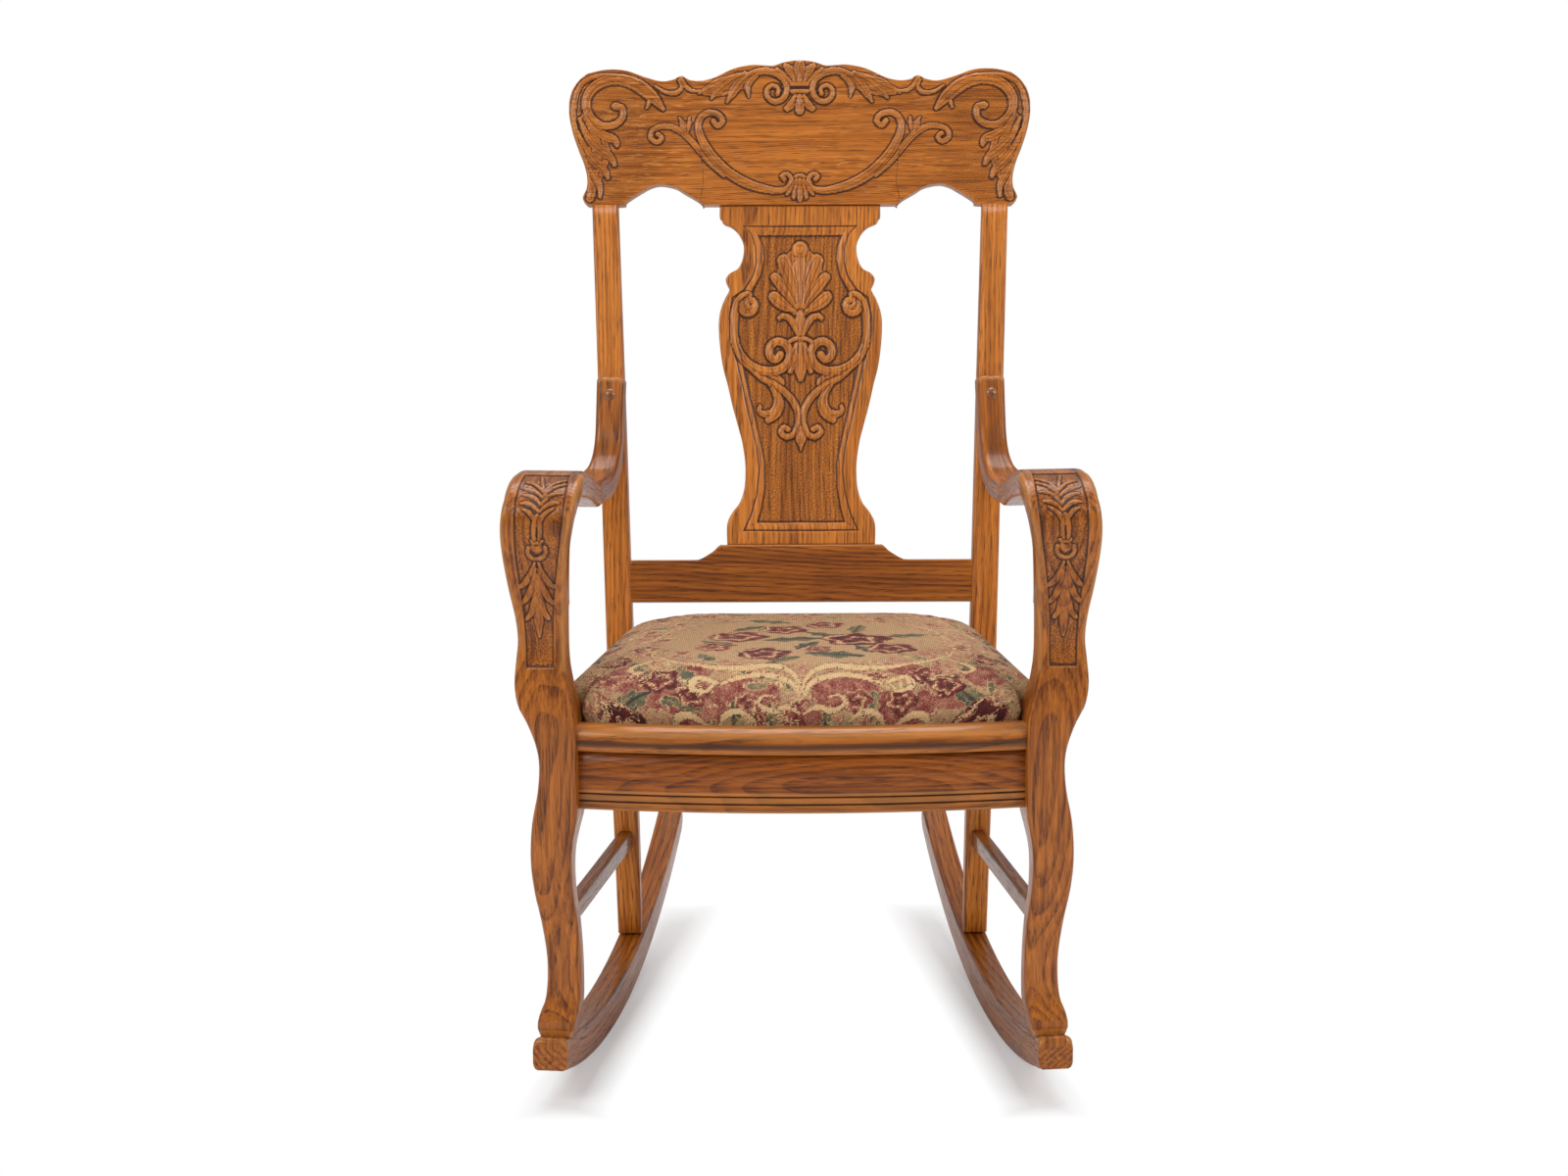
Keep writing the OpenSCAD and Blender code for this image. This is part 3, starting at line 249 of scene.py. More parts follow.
# A bar from stations of four corners (front inner, front outer, back outer, back inner), its edges rounded.
# A shift moves a station's place in the grain, so a shaped bar cuts across the wood's rings
def barPoints(corners, radius, counts=(2, 2, 2, 2), endRound=(0, 0), carve=None, shift=None):
    corners = np.asarray(corners, float)
    radius = np.broadcast_to(radius, len(corners))
    rows, grains = [], []
    middle = corners.mean(1)
    along = lengthsAlong(middle)
    for i, four in enumerate(corners):
        width = max(np.linalg.norm(four[1] - four[0]), 1e-6)
        depth = max(np.linalg.norm(four[3] - four[0]), 1e-6)
        u, v, onFront = roundedRing(width, depth, radius[i], counts)
        if carve is not None:
            v = v + np.where(onFront, carve(i, u, width) / depth, 0)
        front = four[0] + (four[1] - four[0]) * u[:, None]
        rear = four[3] + (four[2] - four[3]) * u[:, None]
        rows.append(front + (rear - front) * v[:, None])
        aside, back = (0, 0) if shift is None else shift[i]
        grains.append(np.stack([(u - 0.5) * width + aside, v * depth + back, np.full(len(u), along[i])], -1))
    for end, following, size in ((0, 1, endRound[0]), (-1, -2, endRound[1])):
        if not size:
            continue
        inward = middle[following] - middle[end]
        inward = inward / np.linalg.norm(inward)
        base, baseGrain = rows[end], grains[end]
        offset = base.mean(0) - base
        offset = offset / np.linalg.norm(offset, axis=1, keepdims=True)
        for inset in (0.3, 0.6, 1.0):
            pull = size * (1 - math.sqrt(1 - inset * inset))
            place = len(rows) if end else 0
            rows.insert(place, base + offset * pull - inward * size * inset)
            grains.insert(place, baseGrain + np.array([0, 0, size * inset]) * (1 if end else -1))
    points = np.concatenate(rows + [rows[0].mean(0, keepdims=True), rows[-1].mean(0, keepdims=True)])
    grain = np.concatenate(grains + [grains[0].mean(0, keepdims=True), grains[-1].mean(0, keepdims=True)])
    return points, ringFaces(len(rows), len(rows[0])), grain


def fourCorners(centre, half, front, back):
    return [(centre - half, *front), (centre + half, *front), (centre + half, *back), (centre - half, *back)]


# A stroke's line as a smooth curve, with its half width at each point
def strokePath(widths, line):
    path = smoothCurve(line, 6)
    share = lengthsAlong(path)
    return path, np.interp(share / share[-1], np.linspace(0, 1, len(widths)), widths)


# How far each spot lies from the line between a and b, and beside which share of it
def segmentDistance(spots, a, b):
    step = b - a
    t = np.clip(((spots - a) @ step) / max(step @ step, 1e-9), 0, 1)
    return np.linalg.norm(spots - (a + t[:, None] * step), axis=1), t


# Height of a carved ornament over its ground, in millimetres, at spots given in millimetres: rounded strokes with
# a groove cut round them, and a flute along both sides of the broad ones
def carvedHeight(spots, strokes, groove, flute, broad=3.2):
    height, shade = np.zeros(len(spots)), np.zeros(len(spots))
    for top, widths, line in strokes.values():
        path, half = strokePath(widths, line)
        low, high = path.min(0) - half.max() - 3, path.max(0) + half.max() + 3
        near = np.nonzero(((spots > low) & (spots < high)).all(1))[0]
        if not len(near):
            continue
        best, bestHalf = np.full(len(near), 1e9), np.full(len(near), 1.0)
        for a, b, ha, hb in zip(path[:-1], path[1:], half[:-1], half[1:]):
            away, t = segmentDistance(spots[near], a, b)
            size = ha + (hb - ha) * t
            closer = away / size < best / bestHalf
            best[closer], bestHalf[closer] = away[closer], size[closer]
        across = best / bestHalf
        ridge = top * np.sqrt(np.clip(1 - across ** 2, 0, 1)) ** 0.75
        ridge = ridge - flute * np.exp(-((best - 0.42 * bestHalf) / 0.55) ** 2) * (bestHalf > broad)
        edge = groove * np.exp(-((best - bestHalf) / 0.8) ** 2)
        height[near] = np.maximum(height[near], np.where(across < 1, ridge, 0))
        shade[near] = np.maximum(shade[near], edge * (across >= 1))
    return np.where(height > 0.05, height, height - shade)


# Signed distance from a closed outline, positive inside
def insideDistance(spots, outline):
    near = np.full(len(spots), 1e9)
    crossing = np.zeros(len(spots), bool)
    for a, b in zip(outline, np.roll(outline, -1, 0)):
        near = np.minimum(near, segmentDistance(spots, a, b)[0])
        if a[1] != b[1]:
            hit = (a[1] > spots[:, 1]) != (b[1] > spots[:, 1])
            cross = a[0] + (spots[:, 1] - a[1]) / (b[1] - a[1]) * (b - a)[0]
            crossing ^= hit & (spots[:, 0] < cross)
    return np.where(crossing, near, -near)


def smoothStep(value, low, high):
    t = np.clip((value - low) / (high - low), 0, 1)
    return t * t * (3 - 2 * t)


# Smooth random field, the same each run
def roughness(spots, scale, seed):
    return np.array([noise.noise(Vector((p[0] / scale + seed, p[1] / scale - seed, seed * 0.37))) for p in spots])


# Node groups: each is built once and placed wherever it is used
def newGroup(name, inputs, outputs, kind="ShaderNodeTree"):
    tree = bpy.data.node_groups.new(name, kind)
    for label, socketType, value in inputs:
        socket = tree.interface.new_socket(name=label, in_out="INPUT", socket_type="NodeSocket" + socketType)
        if value is not None:
            socket.default_value = value
    for label, socketType in outputs:
        tree.interface.new_socket(name=label, in_out="OUTPUT", socket_type="NodeSocket" + socketType)
    return tree, tree.nodes.new("NodeGroupInput"), tree.nodes.new("NodeGroupOutput")


# Inputs by name or number; one given as a socket is linked, any other is set
def setInputs(tree, node, inputs):
    for key, value in inputs.items():
        if isinstance(value, bpy.types.NodeSocket):
            tree.links.new(value, node.inputs[key])
        else:
            node.inputs[key].default_value = value


def addNode(tree, kind, inputs=(), **settings):
    node = tree.nodes.new(kind)
    for key, value in settings.items():
        setattr(node, key, value)
    setInputs(tree, node, dict(inputs))
    return node


def mathNode(operation, tree, first, second=0.0, clamp=False):
    node = addNode(tree, "ShaderNodeMath", {0: first, 1: second}, operation=operation, use_clamp=clamp)
    return node.outputs[0]


add, subtract, multiply, divide, larger, sine, absolute, fraction, squareRoot = (
    partial(mathNode, name) for name in (
        "ADD", "SUBTRACT", "MULTIPLY", "DIVIDE", "MAXIMUM", "SINE", "ABSOLUTE", "FRACT", "SQRT"))


def vectorMath(tree, operation, first, second):
    return addNode(tree, "ShaderNodeVectorMath", {0: first, 1: second}, operation=operation).outputs[0]


def mapRange(tree, value, low, high, toLow=0.0, toHigh=1.0):
    node = addNode(tree, "ShaderNodeMapRange", {"Value": value, "From Min": low, "From Max": high,
                                                "To Min": toLow, "To Max": toHigh})
    return node.outputs[0]


def mixColour(tree, share, first, second, blend="MIX"):
    node = addNode(tree, "ShaderNodeMix", data_type="RGBA", blend_type=blend)
    setInputs(tree, node, {0: share, 6: first, 7: second})
    return node.outputs[2]


# A colour made lighter or darker by a value
def shaded(tree, colour, shade):
    grey = addNode(tree, "ShaderNodeCombineColor", {0: shade, 1: shade, 2: shade}).outputs[0]
    return mixColour(tree, 1.0, colour, grey, "MULTIPLY")


def noiseAt(tree, vector, scale, detail, **more):
    node = addNode(tree, "ShaderNodeTexNoise", {"Vector": vector, "Scale": scale, "Detail": detail, **more})
    return node.outputs["Fac"]


# Noise with its cells stretched: the stretch is in cells a metre along each axis
def stretchedNoise(tree, vector, stretch, detail=2.0, **more):
    return noiseAt(tree, vectorMath(tree, "MULTIPLY", vector, stretch), 1.0, detail, **more)


# Threads side by side: 0 between them, 1 on top of them
def threads(tree, place, size):
    return absolute(tree, sine(tree, multiply(tree, divide(tree, place, size), math.pi)))


def attribute(tree, name, output="Fac"):
    return addNode(tree, "ShaderNodeAttribute", attribute_name=name).outputs[output]


def objectPlace(tree):
    return addNode(tree, "ShaderNodeTexCoord").outputs["Object"]


def splitVector(tree, vector):
    return addNode(tree, "ShaderNodeSeparateXYZ", {0: vector}).outputs


def bumpNormal(tree, strength, distance, height):
    return addNode(tree, "ShaderNodeBump", {"Strength": strength, "Distance": distance, "Height": height}).outputs[0]


# Oak: growth rings round a pith that wanders, dark open pores along the grain, and pale ray flecks
oakPattern = {
    "wander": (6, 6, 1.6), "wanderSize": 0.05, "leanTurn": 5.2, "leanSize": 0.012, "pith": (0.004, 0.045),
    "pores": (600, 600, 38), "streaks": (260, 260, 5), "clouds": (14, 14, 5), "bands": (95, 95, 4),
    "flecks": (330, 60, 42), "fleckTurn": 0.62, "poreColour": (0.05, 0.012, 0.003, 1),
    "fleckColour": (0.66, 0.27, 0.07, 1), "lateTone": 0.46, "streakTone": (-0.08, 0.46), "bandTone": 0.28,
    "cloudTone": (-0.12, 0.2),
}


def oakGrainGroup(setup):
    tree, start, end = newGroup("oakGrain", [
        ("Vector", "Vector", None), ("Ring Size", "Float", 0.0042),
        ("Pore Strength", "Float", 0.6), ("Fleck Amount", "Float", 0.0),
        ("Light", "Color", (0.46, 0.15, 0.025, 1)), ("Dark", "Color", (0.19, 0.045, 0.007, 1)),
    ], [("Color", "Color"), ("Height", "Float"), ("Gloss Mask", "Float")])
    given, size = start.outputs, setup["wanderSize"]
    vector = given["Vector"]
    wander = addNode(tree, "ShaderNodeTexNoise", {
        "Vector": vectorMath(tree, "MULTIPLY", vector, setup["wander"]), "Scale": 1.0, "Detail": 3.0})
    shift = vectorMath(tree, "SUBTRACT", wander.outputs["Color"], (0.5, 0.5, 0.5))
    shift = vectorMath(tree, "MULTIPLY", shift, (size, size, 0.0))
    split = splitVector(tree, vectorMath(tree, "ADD", vector, shift))
    lean = multiply(tree, sine(tree, multiply(tree, split[2], setup["leanTurn"])), setup["leanSize"])
    px = add(tree, add(tree, split[0], setup["pith"][0]), lean)
    py = add(tree, split[1], setup["pith"][1])
    radius = squareRoot(tree, add(tree, multiply(tree, px, px), multiply(tree, py, py)))
    rings = fraction(tree, divide(tree, radius, given["Ring Size"]))
    late = multiply(tree, mapRange(tree, rings, 0.35, 1.0), mapRange(tree, rings, 1.0, 0.93))
    pores = stretchedNoise(tree, vector, setup["pores"], Roughness=0.55)
    poreMask = multiply(tree, mapRange(tree, pores, 0.52, 0.61), mapRange(tree, late, 0.0, 1.0, 0.35, 1.0))
    streak = stretchedNoise(tree, vector, setup["streaks"], 4.0)
    cloud = stretchedNoise(tree, vector, setup["clouds"])
    band = stretchedNoise(tree, vector, setup["bands"])
    tone = multiply(tree, late, setup["lateTone"])
    tone = add(tree, tone, mapRange(tree, streak, 0.36, 0.64, *setup["streakTone"]))
    tone = add(tree, tone, mapRange(tree, band, 0.48, 0.66, 0.0, setup["bandTone"]))
    tone = add(tree, tone, mapRange(tree, cloud, 0.3, 0.7, *setup["cloudTone"]), clamp=True)
    colour = mixColour(tree, tone, given["Light"], given["Dark"])
    colour = mixColour(tree, multiply(tree, poreMask, given["Pore Strength"]), colour, setup["poreColour"])
    fleckAt = addNode(tree, "ShaderNodeMapping", {
        "Vector": vector, "Rotation": (0, setup["fleckTurn"], 0), "Scale": setup["flecks"]}).outputs[0]
    fleck = mapRange(tree, noiseAt(tree, fleckAt, 1.0, 1.0, Distortion=0.6), 0.56, 0.63)
    fleckShare = multiply(tree, multiply(tree, fleck, mapRange(tree, cloud, 0.42, 0.6)), given["Fleck Amount"])
    bright = mixColour(tree, 0.62, given["Light"], setup["fleckColour"])
    setInputs(tree, end, {
        "Color": mixColour(tree, fleckShare, colour, bright), "Gloss Mask": poreMask,
        "Height": subtract(tree, multiply(tree, streak, 0.25), multiply(tree, poreMask, 0.8))})
    return tree


# Painted shade darkens the hollows, and points that stand out are lighter, worn edges with a painted highlight; Depth
# is how far a point lies below its surroundings
wearShadeSetup = {"wornHighlightDepth": (-0.14, -0.55), "wearAndPaintedLight": 0.42, "hollowDepth": (0.05, 0.29), "hollow": 0.88}


def wearAndShadeGroup(setup):
    tree, start, end = newGroup("edgeWearAndPaintedLight", [
        ("Color", "Color", None), ("Worn Highlight Color", "Color", (0.60, 0.27, 0.08, 1)),
        ("Painted Shade Color", "Color", (0.035, 0.010, 0.003, 1)), ("Depth", "Float", 0.0),
    ], [("Color", "Color")])
    given = start.outputs
    # Worn edges with a painted highlight: the further a point stands out, the lighter it is
    wearAndPaintedLight = multiply(tree, mapRange(tree, given["Depth"], *setup["wornHighlightDepth"]), setup["wearAndPaintedLight"])
    # Painted shade: the deeper a point lies in a hollow, the darker it is
    hollow = multiply(tree, mapRange(tree, given["Depth"], *setup["hollowDepth"]), setup["hollow"])
    colour = mixColour(tree, wearAndPaintedLight, given["Color"], given["Worn Highlight Color"])
    setInputs(tree, end, {"Color": mixColour(tree, hollow, colour, given["Painted Shade Color"])})
    return tree


oakGrain, edgeWearAndPaintedLight = oakGrainGroup(oakPattern), wearAndShadeGroup(wearShadeSetup)


def newMaterial(name):
    material = bpy.data.materials.new(name)
    material.use_nodes = True
    tree = material.node_tree
    tree.nodes.clear()
    shader = tree.nodes.new("ShaderNodeBsdfPrincipled")
    output = tree.nodes.new("ShaderNodeOutputMaterial")
    tree.links.new(shader.outputs[0], output.inputs[0])
    return material, tree, shader


# Varnished oak; a piece of the scene reads its own grain attribute, a frame node its object coordinates
def oakMaterial(name, look, fromAttribute=True):
    material, tree, shader = newMaterial(name)
    if fromAttribute:
        source = attribute(tree, "grain", "Vector")
    else:
        source = addNode(tree, "ShaderNodeMapping", {"Vector": objectPlace(tree), "Rotation": look["turn"]}).outputs[0]
    labels = ("Ring Size", "Pore Strength", "Fleck Amount", "Light", "Dark")
    grain = addNode(tree, "ShaderNodeGroup", {"Vector": source, **{label: look[label] for label in labels}},
                    node_tree=oakGrain).outputs
    # The hollow depth plus the added darkening drives the painted shade in hollows and the worn edges with painted
    # highlight
    depth = add(tree, attribute(tree, "hollow"), attribute(tree, "darkening"))
    wearAndPaintedLight = addNode(tree, "ShaderNodeGroup", {"Color": grain["Color"], "Depth": depth}, node_tree=edgeWearAndPaintedLight)
    setInputs(tree, shader, {
        "Base Color": wearAndPaintedLight.outputs["Color"], "Coat Weight": look["coat"], "Coat Roughness": 0.12,
        "Roughness": mapRange(tree, grain["Gloss Mask"], 0.0, 1.0, look["rough"], look["rough"] + 0.22),
        "Normal": bumpNormal(tree, look["bump"], 0.0004, grain["Height"]), "Specular IOR Level": 0.22})
    return material


oakLook = {"Ring Size": 0.0056, "Pore Strength": 0.8, "Fleck Amount": 0.12, "Light": (0.48, 0.142, 0.015, 1),
           "Dark": (0.14, 0.031, 0.0035, 1), "rough": 0.3, "bump": 0.45, "coat": 0.3}
backLook = {**oakLook, "Ring Size": 0.0042, "Light": (0.70, 0.235, 0.036, 1), "Dark": (0.30, 0.08, 0.011, 1),
            "coat": 0.25}
# The apron's oak is a darker copy, painted shade where the cap shades it from above
shadedApronLook = {**oakLook, "Ring Size": 0.0032, "Light": (0.40, 0.106, 0.010, 1), "Dark": (0.12, 0.026, 0.003, 1),
             "coat": 0.15}
crestLook = {**backLook, "Ring Size": 0.0021, "Fleck Amount": 0.7, "Light": (0.60, 0.188, 0.025, 1),
             "Dark": (0.22, 0.055, 0.0065, 1)}
plugLook = {**oakLook, "Light": (0.30, 0.088, 0.014, 1), "Dark": (0.14, 0.036, 0.006, 1), "coat": 0.9}
oakWood, backWood, shadedApronWood, crestWood, darkPlug = (oakMaterial(name, look) for name, look in (
    ("varnishedOak", oakLook), ("paleOak", backLook), ("apronOakPaintedShade", shadedApronLook), ("quarterSawnOak", crestLook),
    ("darkPlugOak", plugLook)))
print("oak materials made")


# Arms with their front legs: outlines as shares of width or depth, and of the arm's height. Places along the front
# count from the runner's crown, which lies "crownAlong" below the foot
arm = {
    "legOuter": [
        (0.58, 0.06), (0.6, 0.1), (0.643, 0.118), (0.61, 0.14), (0.527, 0.168), (0.505, 0.23), (0.571, 0.294),
        (0.65, 0.345), (0.684, 0.395), (0.649, 0.453), (0.56, 0.505), (0.532, 0.548), (0.575, 0.58), (0.69, 0.614),
        (0.825, 0.643), (0.872, 0.677), (0.85, 0.715), (0.825, 0.745), (0.85, 0.78), (0.922, 0.827), (0.975, 0.875),
        (0.995, 0.915), (0.975, 0.95), (0.95, 0.97)],
    "legInnerLow": [
        (0.15, 0.06), (0.145, 0.1), (0.108, 0.118), (0.06, 0.145), (0.03, 0.17), (0.022, 0.23), (0.045, 0.29),
        (0.095, 0.345), (0.1, 0.4), (0.05, 0.44), (0, 0.465)],
    "legInnerHigh": [
        (0, 0.615), (0.05, 0.643), (0.12, 0.675), (0.155, 0.715), (0.14, 0.77), (0.105, 0.83), (0.07, 0.89),
        (0.03, 0.92), (-0.02, 0.945), (-0.065, 0.965)],
    "legFront": [
        (0, 0.06), (0, 0.1), (-0.03, 0.128), (0.08, 0.15), (0.17, 0.2), (0.1, 0.27), (-0.03, 0.33), (-0.13, 0.41),
        (-0.16, 0.47), (-0.16, 0.6), (-0.1, 0.66), (0.04, 0.73), (-0.02, 0.79), (-0.2, 0.85), (-0.36, 0.905),
        (-0.39, 0.935)],
    "legBackLow": [
        (1, 0.06), (1, 0.1), (0.9, 0.14), (0.78, 0.19), (0.68, 0.27), (0.6, 0.35), (0.66, 0.41), (0.9, 0.45),
        (1, 0.47)],
    "legBackHigh": [(1, 0.63), (0.92, 0.67), (0.74, 0.73), (0.55, 0.79), (0.36, 0.85), (0.27, 0.89)],
    "planOuter": [
        (0.95, 0.07), (0.96, 0.15), (1.02, 0.35), (1.11, 0.6), (1.17, 0.8), (1.17, 0.88), (1.08, 0.95), (0.95, 1),
        (0.89, 1.06), (0.89, 1.14), (0.9, 1.3)],
    "planInner": [
        (-0.065, 0.07), (0, 0.17), (0.17, 0.4), (0.34, 0.62), (0.46, 0.8), (0.49, 0.9), (0.47, 1), (0.455, 1.06),
        (0.46, 1.14), (0.46, 1.3)],
    "humpShare": 0.105, "humpStart": 0.935, "legEdge": 5.0, "armEdge": 7.0, "endEdge": 4.0, "carveStep": 1.15,
    "plainStep": 7.0, "carveFrom": 436.0, "carveTo": 692.0, "acrossCount": 66, "footZ": 66.0,
    "crownAlong": 25.0, "fieldStep": 0.5, "fieldMargin": 4,
}
# The recessed panel down the front of each arm, and the ornament in it: (height, half widths, line), all in
# millimetres out from the leg's inner face and along the front from the foot
armPanel = {
    "outer": [
        (61, 684), (60.2, 646.1), (61.7, 627), (61.7, 607.5), (62.2, 588.8), (61.5, 564.6), (59.6, 540.1),
        (57.2, 515.3), (55.6, 486.1), (54.9, 462.2), (54.7, 441.1)],
    "inner": [
        (10.5, 684), (6.4, 640.5), (6.2, 618), (7.9, 599.4), (11.5, 575.6), (15.5, 551), (19.2, 526.2), (21.8, 501.5),
        (23.2, 472.5), (23.1, 442)],
    # darkening: painted shade on the panel's recessed ground
    "depth": 2.4, "wall": 1.3, "stipple": 0.4, "groove": 0.5, "lift": 1.15, "darkening": 0.1, "widen": 1.12,
}
armStrokes = {
    "plumeTop": (1.5, (2, 2.2, 1.2), [(31.7, 639.8), (34.9, 653.2), (39.4, 672.3)]),
    "plumeL1": (1.6, (1.5, 2.2, 2.2, 1.2), [(31.8, 639.1), (40.2, 650), (47.3, 655), (53.5, 657.2)]),
    "plumeL2": (1.7, (1.5, 2.4, 2.4, 1.2), [(32.3, 632.3), (40.1, 639.6), (47.9, 643.5), (55.4, 645.5)]),
    "plumeL3": (1.7, (1.5, 2.4, 2.4, 1.2), [(32.4, 622.4), (39.1, 630.3), (46.3, 634), (53.1, 635.3)]),
    "plumeL4": (1.7, (1.5, 2.4, 2.6, 1.2), [(33.1, 614.6), (39.7, 620.3), (47.2, 624.2), (54.7, 624)]),
    "plumeL5": (1.7, (1.8, 2.4, 2.4, 1.2), [(37, 599.9), (39.4, 607.9), (44.4, 613.9), (51.2, 617.5)]),
    "plumeR1": (1.6, (1.5, 2.2, 2.2, 1.2), [(31.4, 639.8), (26.3, 650.5), (19.1, 658.2), (9.6, 663)]),
    "plumeR2": (1.7, (1.5, 2.4, 2.4, 1.2), [(31.4, 632.3), (26.4, 642), (19.2, 649.1), (9.1, 653.3)]),
    "plumeR3": (1.7, (1.5, 2.4, 2.4, 1.2), [(31.5, 622.5), (26.7, 632.4), (19.9, 636.9), (11.1, 637.8)]),
    "plumeR4": (1.7, (1.5, 2.4, 2.6, 1.2), [(32.2, 614.6), (27.1, 621), (21, 624.8), (13.5, 625.5)]),
    "plumeR5": (1.7, (1.8, 2.4, 2.4, 1.2), [(33.3, 600), (30.9, 608.1), (25.6, 614.3), (18, 619)]),
    "stemL": (1.8, (2, 2.4, 2.4, 2), [(35.7, 610.3), (38.9, 601), (39.6, 590.5), (38.8, 584.6)]),
    "stemR": (1.8, (2, 2.4, 2.4, 2), [(34.8, 610.3), (32.8, 601.1), (33, 590.6), (34.1, 584.7)]),
    "collarL": (1.7, (1.4, 1.8, 1.6), [(42.6, 583), (39.9, 580.2), (36.6, 580.8)]),
    "collarR": (1.7, (1.6, 1.8, 1.4), [(36.6, 580.8), (33.3, 580.4), (30.4, 583.3)]),
    "ring": (1.8, (2.2, 2.2, 2.2, 2.2, 2.2, 2.2, 2.2, 2.2, 2.2), [
        (45.8, 575.2), (46.8, 569.9), (44, 564.6), (37.5, 562.5), (30.8, 564.9), (27.5, 570.3), (27.9, 575.7)]),
    "crescent": (1.6, (1.2, 3.2, 3.8, 3.2, 1.2), [(41.5, 577.8), (39.8, 574.4), (37, 573), (34.1, 574.6), (32, 578)]),
    "fanL1": (1.8, (1.4, 2.6, 3.6, 2.4), [(40.1, 558.3), (45.1, 545.4), (51.8, 535.3), (57.8, 530.7)]),
    "fanL2": (1.8, (1.4, 2.6, 3.8, 2.4), [(39.5, 551.7), (43.9, 533.1), (49.8, 520), (55.9, 512.9)]),
    "fanL3": (1.8, (1.4, 2.6, 3.8, 2.4), [(38.5, 545.5), (41.3, 520.7), (45.9, 503.3), (52, 495.1)]),
    "fanR1": (1.8, (1.4, 2.6, 3.6, 2.4), [(35.9, 558.4), (32.3, 545.7), (26.7, 536), (20.3, 531.7)]),
    "fanR2": (1.8, (1.4, 2.6, 3.8, 2.4), [(36.2, 551.7), (33.9, 533.3), (29, 520.5), (23.2, 513.2)]),
    "fanR3": (1.8, (1.4, 2.6, 3.8, 2.4), [(37, 545.6), (37, 520.8), (33.6, 503.6), (28.7, 495.8)]),
    "fanMid": (1.8, (1.2, 2.2, 4.2, 4.6, 1.4), [
        (38, 540.6), (39.1, 513.3), (39.2, 498.6), (39.2, 486.5), (39, 475.4)]),
}


# The arm's side view: the line of its front and upper face, and that of its rear and under face
def armProfiles():
    high, deep, thick, dip, radius = (chair[key] for key in (
        "armHeight", "legDepth", "armThick", "armDip", "riseRadius"))
    legFront, low, upper = (smoothCurve(np.array(arm[key]) * (deep, high)) for key in (
        "legFront", "legBackLow", "legBackHigh"))
    legBack = np.concatenate([low, upper])
    humpY, humpZ = arm["humpShare"] * chair["postY"], arm["humpStart"] * high
    riseZ = dip + radius
    riseEndZ = riseZ - radius * leanSin
    faceY = chair["postY"] - 0.125 * deep + (riseEndZ - chair["bendZ"]) * leanTan
    riseY = faceY - chair["armEndThick"] / leanCos - radius * leanCos
    riseEndY = riseY + radius * leanCos
    endY = riseEndY + (chair["armEnd"] - riseEndZ) * leanTan
    startY, dipY, middle = humpY * 1.6, riseY - radius, ((humpY + riseY) / 2, (high + dip) / 2)
    underStart, topDip, underDip = (startY, high - 1.05 * thick), (dipY, dip + 0.12 * thick), (dipY, dip - 0.9 * thick)
    hump = arcPoints((humpY, humpZ), (humpY - deep * arm["legFront"][-1][0], high - humpZ), 172, 90, 24)
    top = smoothCurve([(humpY, high), (humpY * 2, high - 0.07 * thick), middle, topDip, (riseY, dip)], 10)
    under = smoothCurve([underStart, (middle[0], middle[1] - thick), underDip], 10)
    bend, legTop = 1.1 * thick, 0.85 * high
    inner = arcPoints((deep * 0.27 + bend, high * 0.89 + bend * 0.8), bend, 170, 110, 10)
    legZ, armY = np.linspace(arm["footZ"], legTop, 200), np.linspace(startY, dipY, 60)
    legs = [np.column_stack([np.interp(legZ, line[:, 1], line[:, 0]), legZ]) for line in (legFront, legBack)]
    arms = [np.column_stack([armY, np.interp(armY, line[:, 0], line[:, 1])]) for line in (top, under)]
    bends = [
        np.concatenate([legs[0][-1:], legFront[legFront[:, 1] > legTop + 1], hump[1:], top[top[:, 0] <= startY][1:]]),
        np.concatenate([legs[1][-1:], legBack[legBack[:, 1] > legTop + 1], inner, [underStart]])]
    riseArc, underArc = (arcPoints((riseY, riseZ), away, start, -chair["lean"], 24) for away, start in (
        (radius, -84), (radius + thick, -90)))
    rises = [np.concatenate([[topDip], top[top[:, 0] > dipY + 0.5], riseArc]), np.concatenate([[underDip], underArc])]
    endFront = np.array([(riseEndY, riseEndZ), (endY, chair["armEnd"])])
    endBack = endFront + np.array([chair["armEndThick"] * 1.12, -chair["armEndThick"] * 0.24])
    endBack[0] = rises[1][-1]
    shares, lines = np.linspace(0, 1, 90), []
    for leg, bent, level, rise, end in zip(legs, bends, arms, rises, (endFront, endBack)):
        parts = (resampled(bent, shares), level, resampled(rise, shares), resampled(end, shares))
        lines.append(np.concatenate([leg] + [part[1:] for part in parts]))
    return lines


# How far out the arm's two sides lie at a place of its side view
def armSides(places):
    width, high, deep = chair["armWidth"], chair["armHeight"], chair["postY"]
    y, z = places[:, 0], places[:, 1]
    inner = np.concatenate([smoothCurve(arm["legInnerLow"]), smoothCurve(arm["legInnerHigh"])]) * (width, high)
    outer = smoothCurve(arm["legOuter"]) * (width, high)
    planOuter, planInner = smoothCurve(arm["planOuter"]) * (width, deep), smoothCurve(arm["planInner"]) * (width, deep)
    share = smoothStep(y, 18, 46) * (z > 0.8 * high)
    sides = []
    for leg, plan in ((inner, planInner), (outer, planOuter)):
        sides.append(np.interp(z, leg[:, 1], leg[:, 0]) * (1 - share) + np.interp(y, plan[:, 1], plan[:, 0]) * share)
    return sides


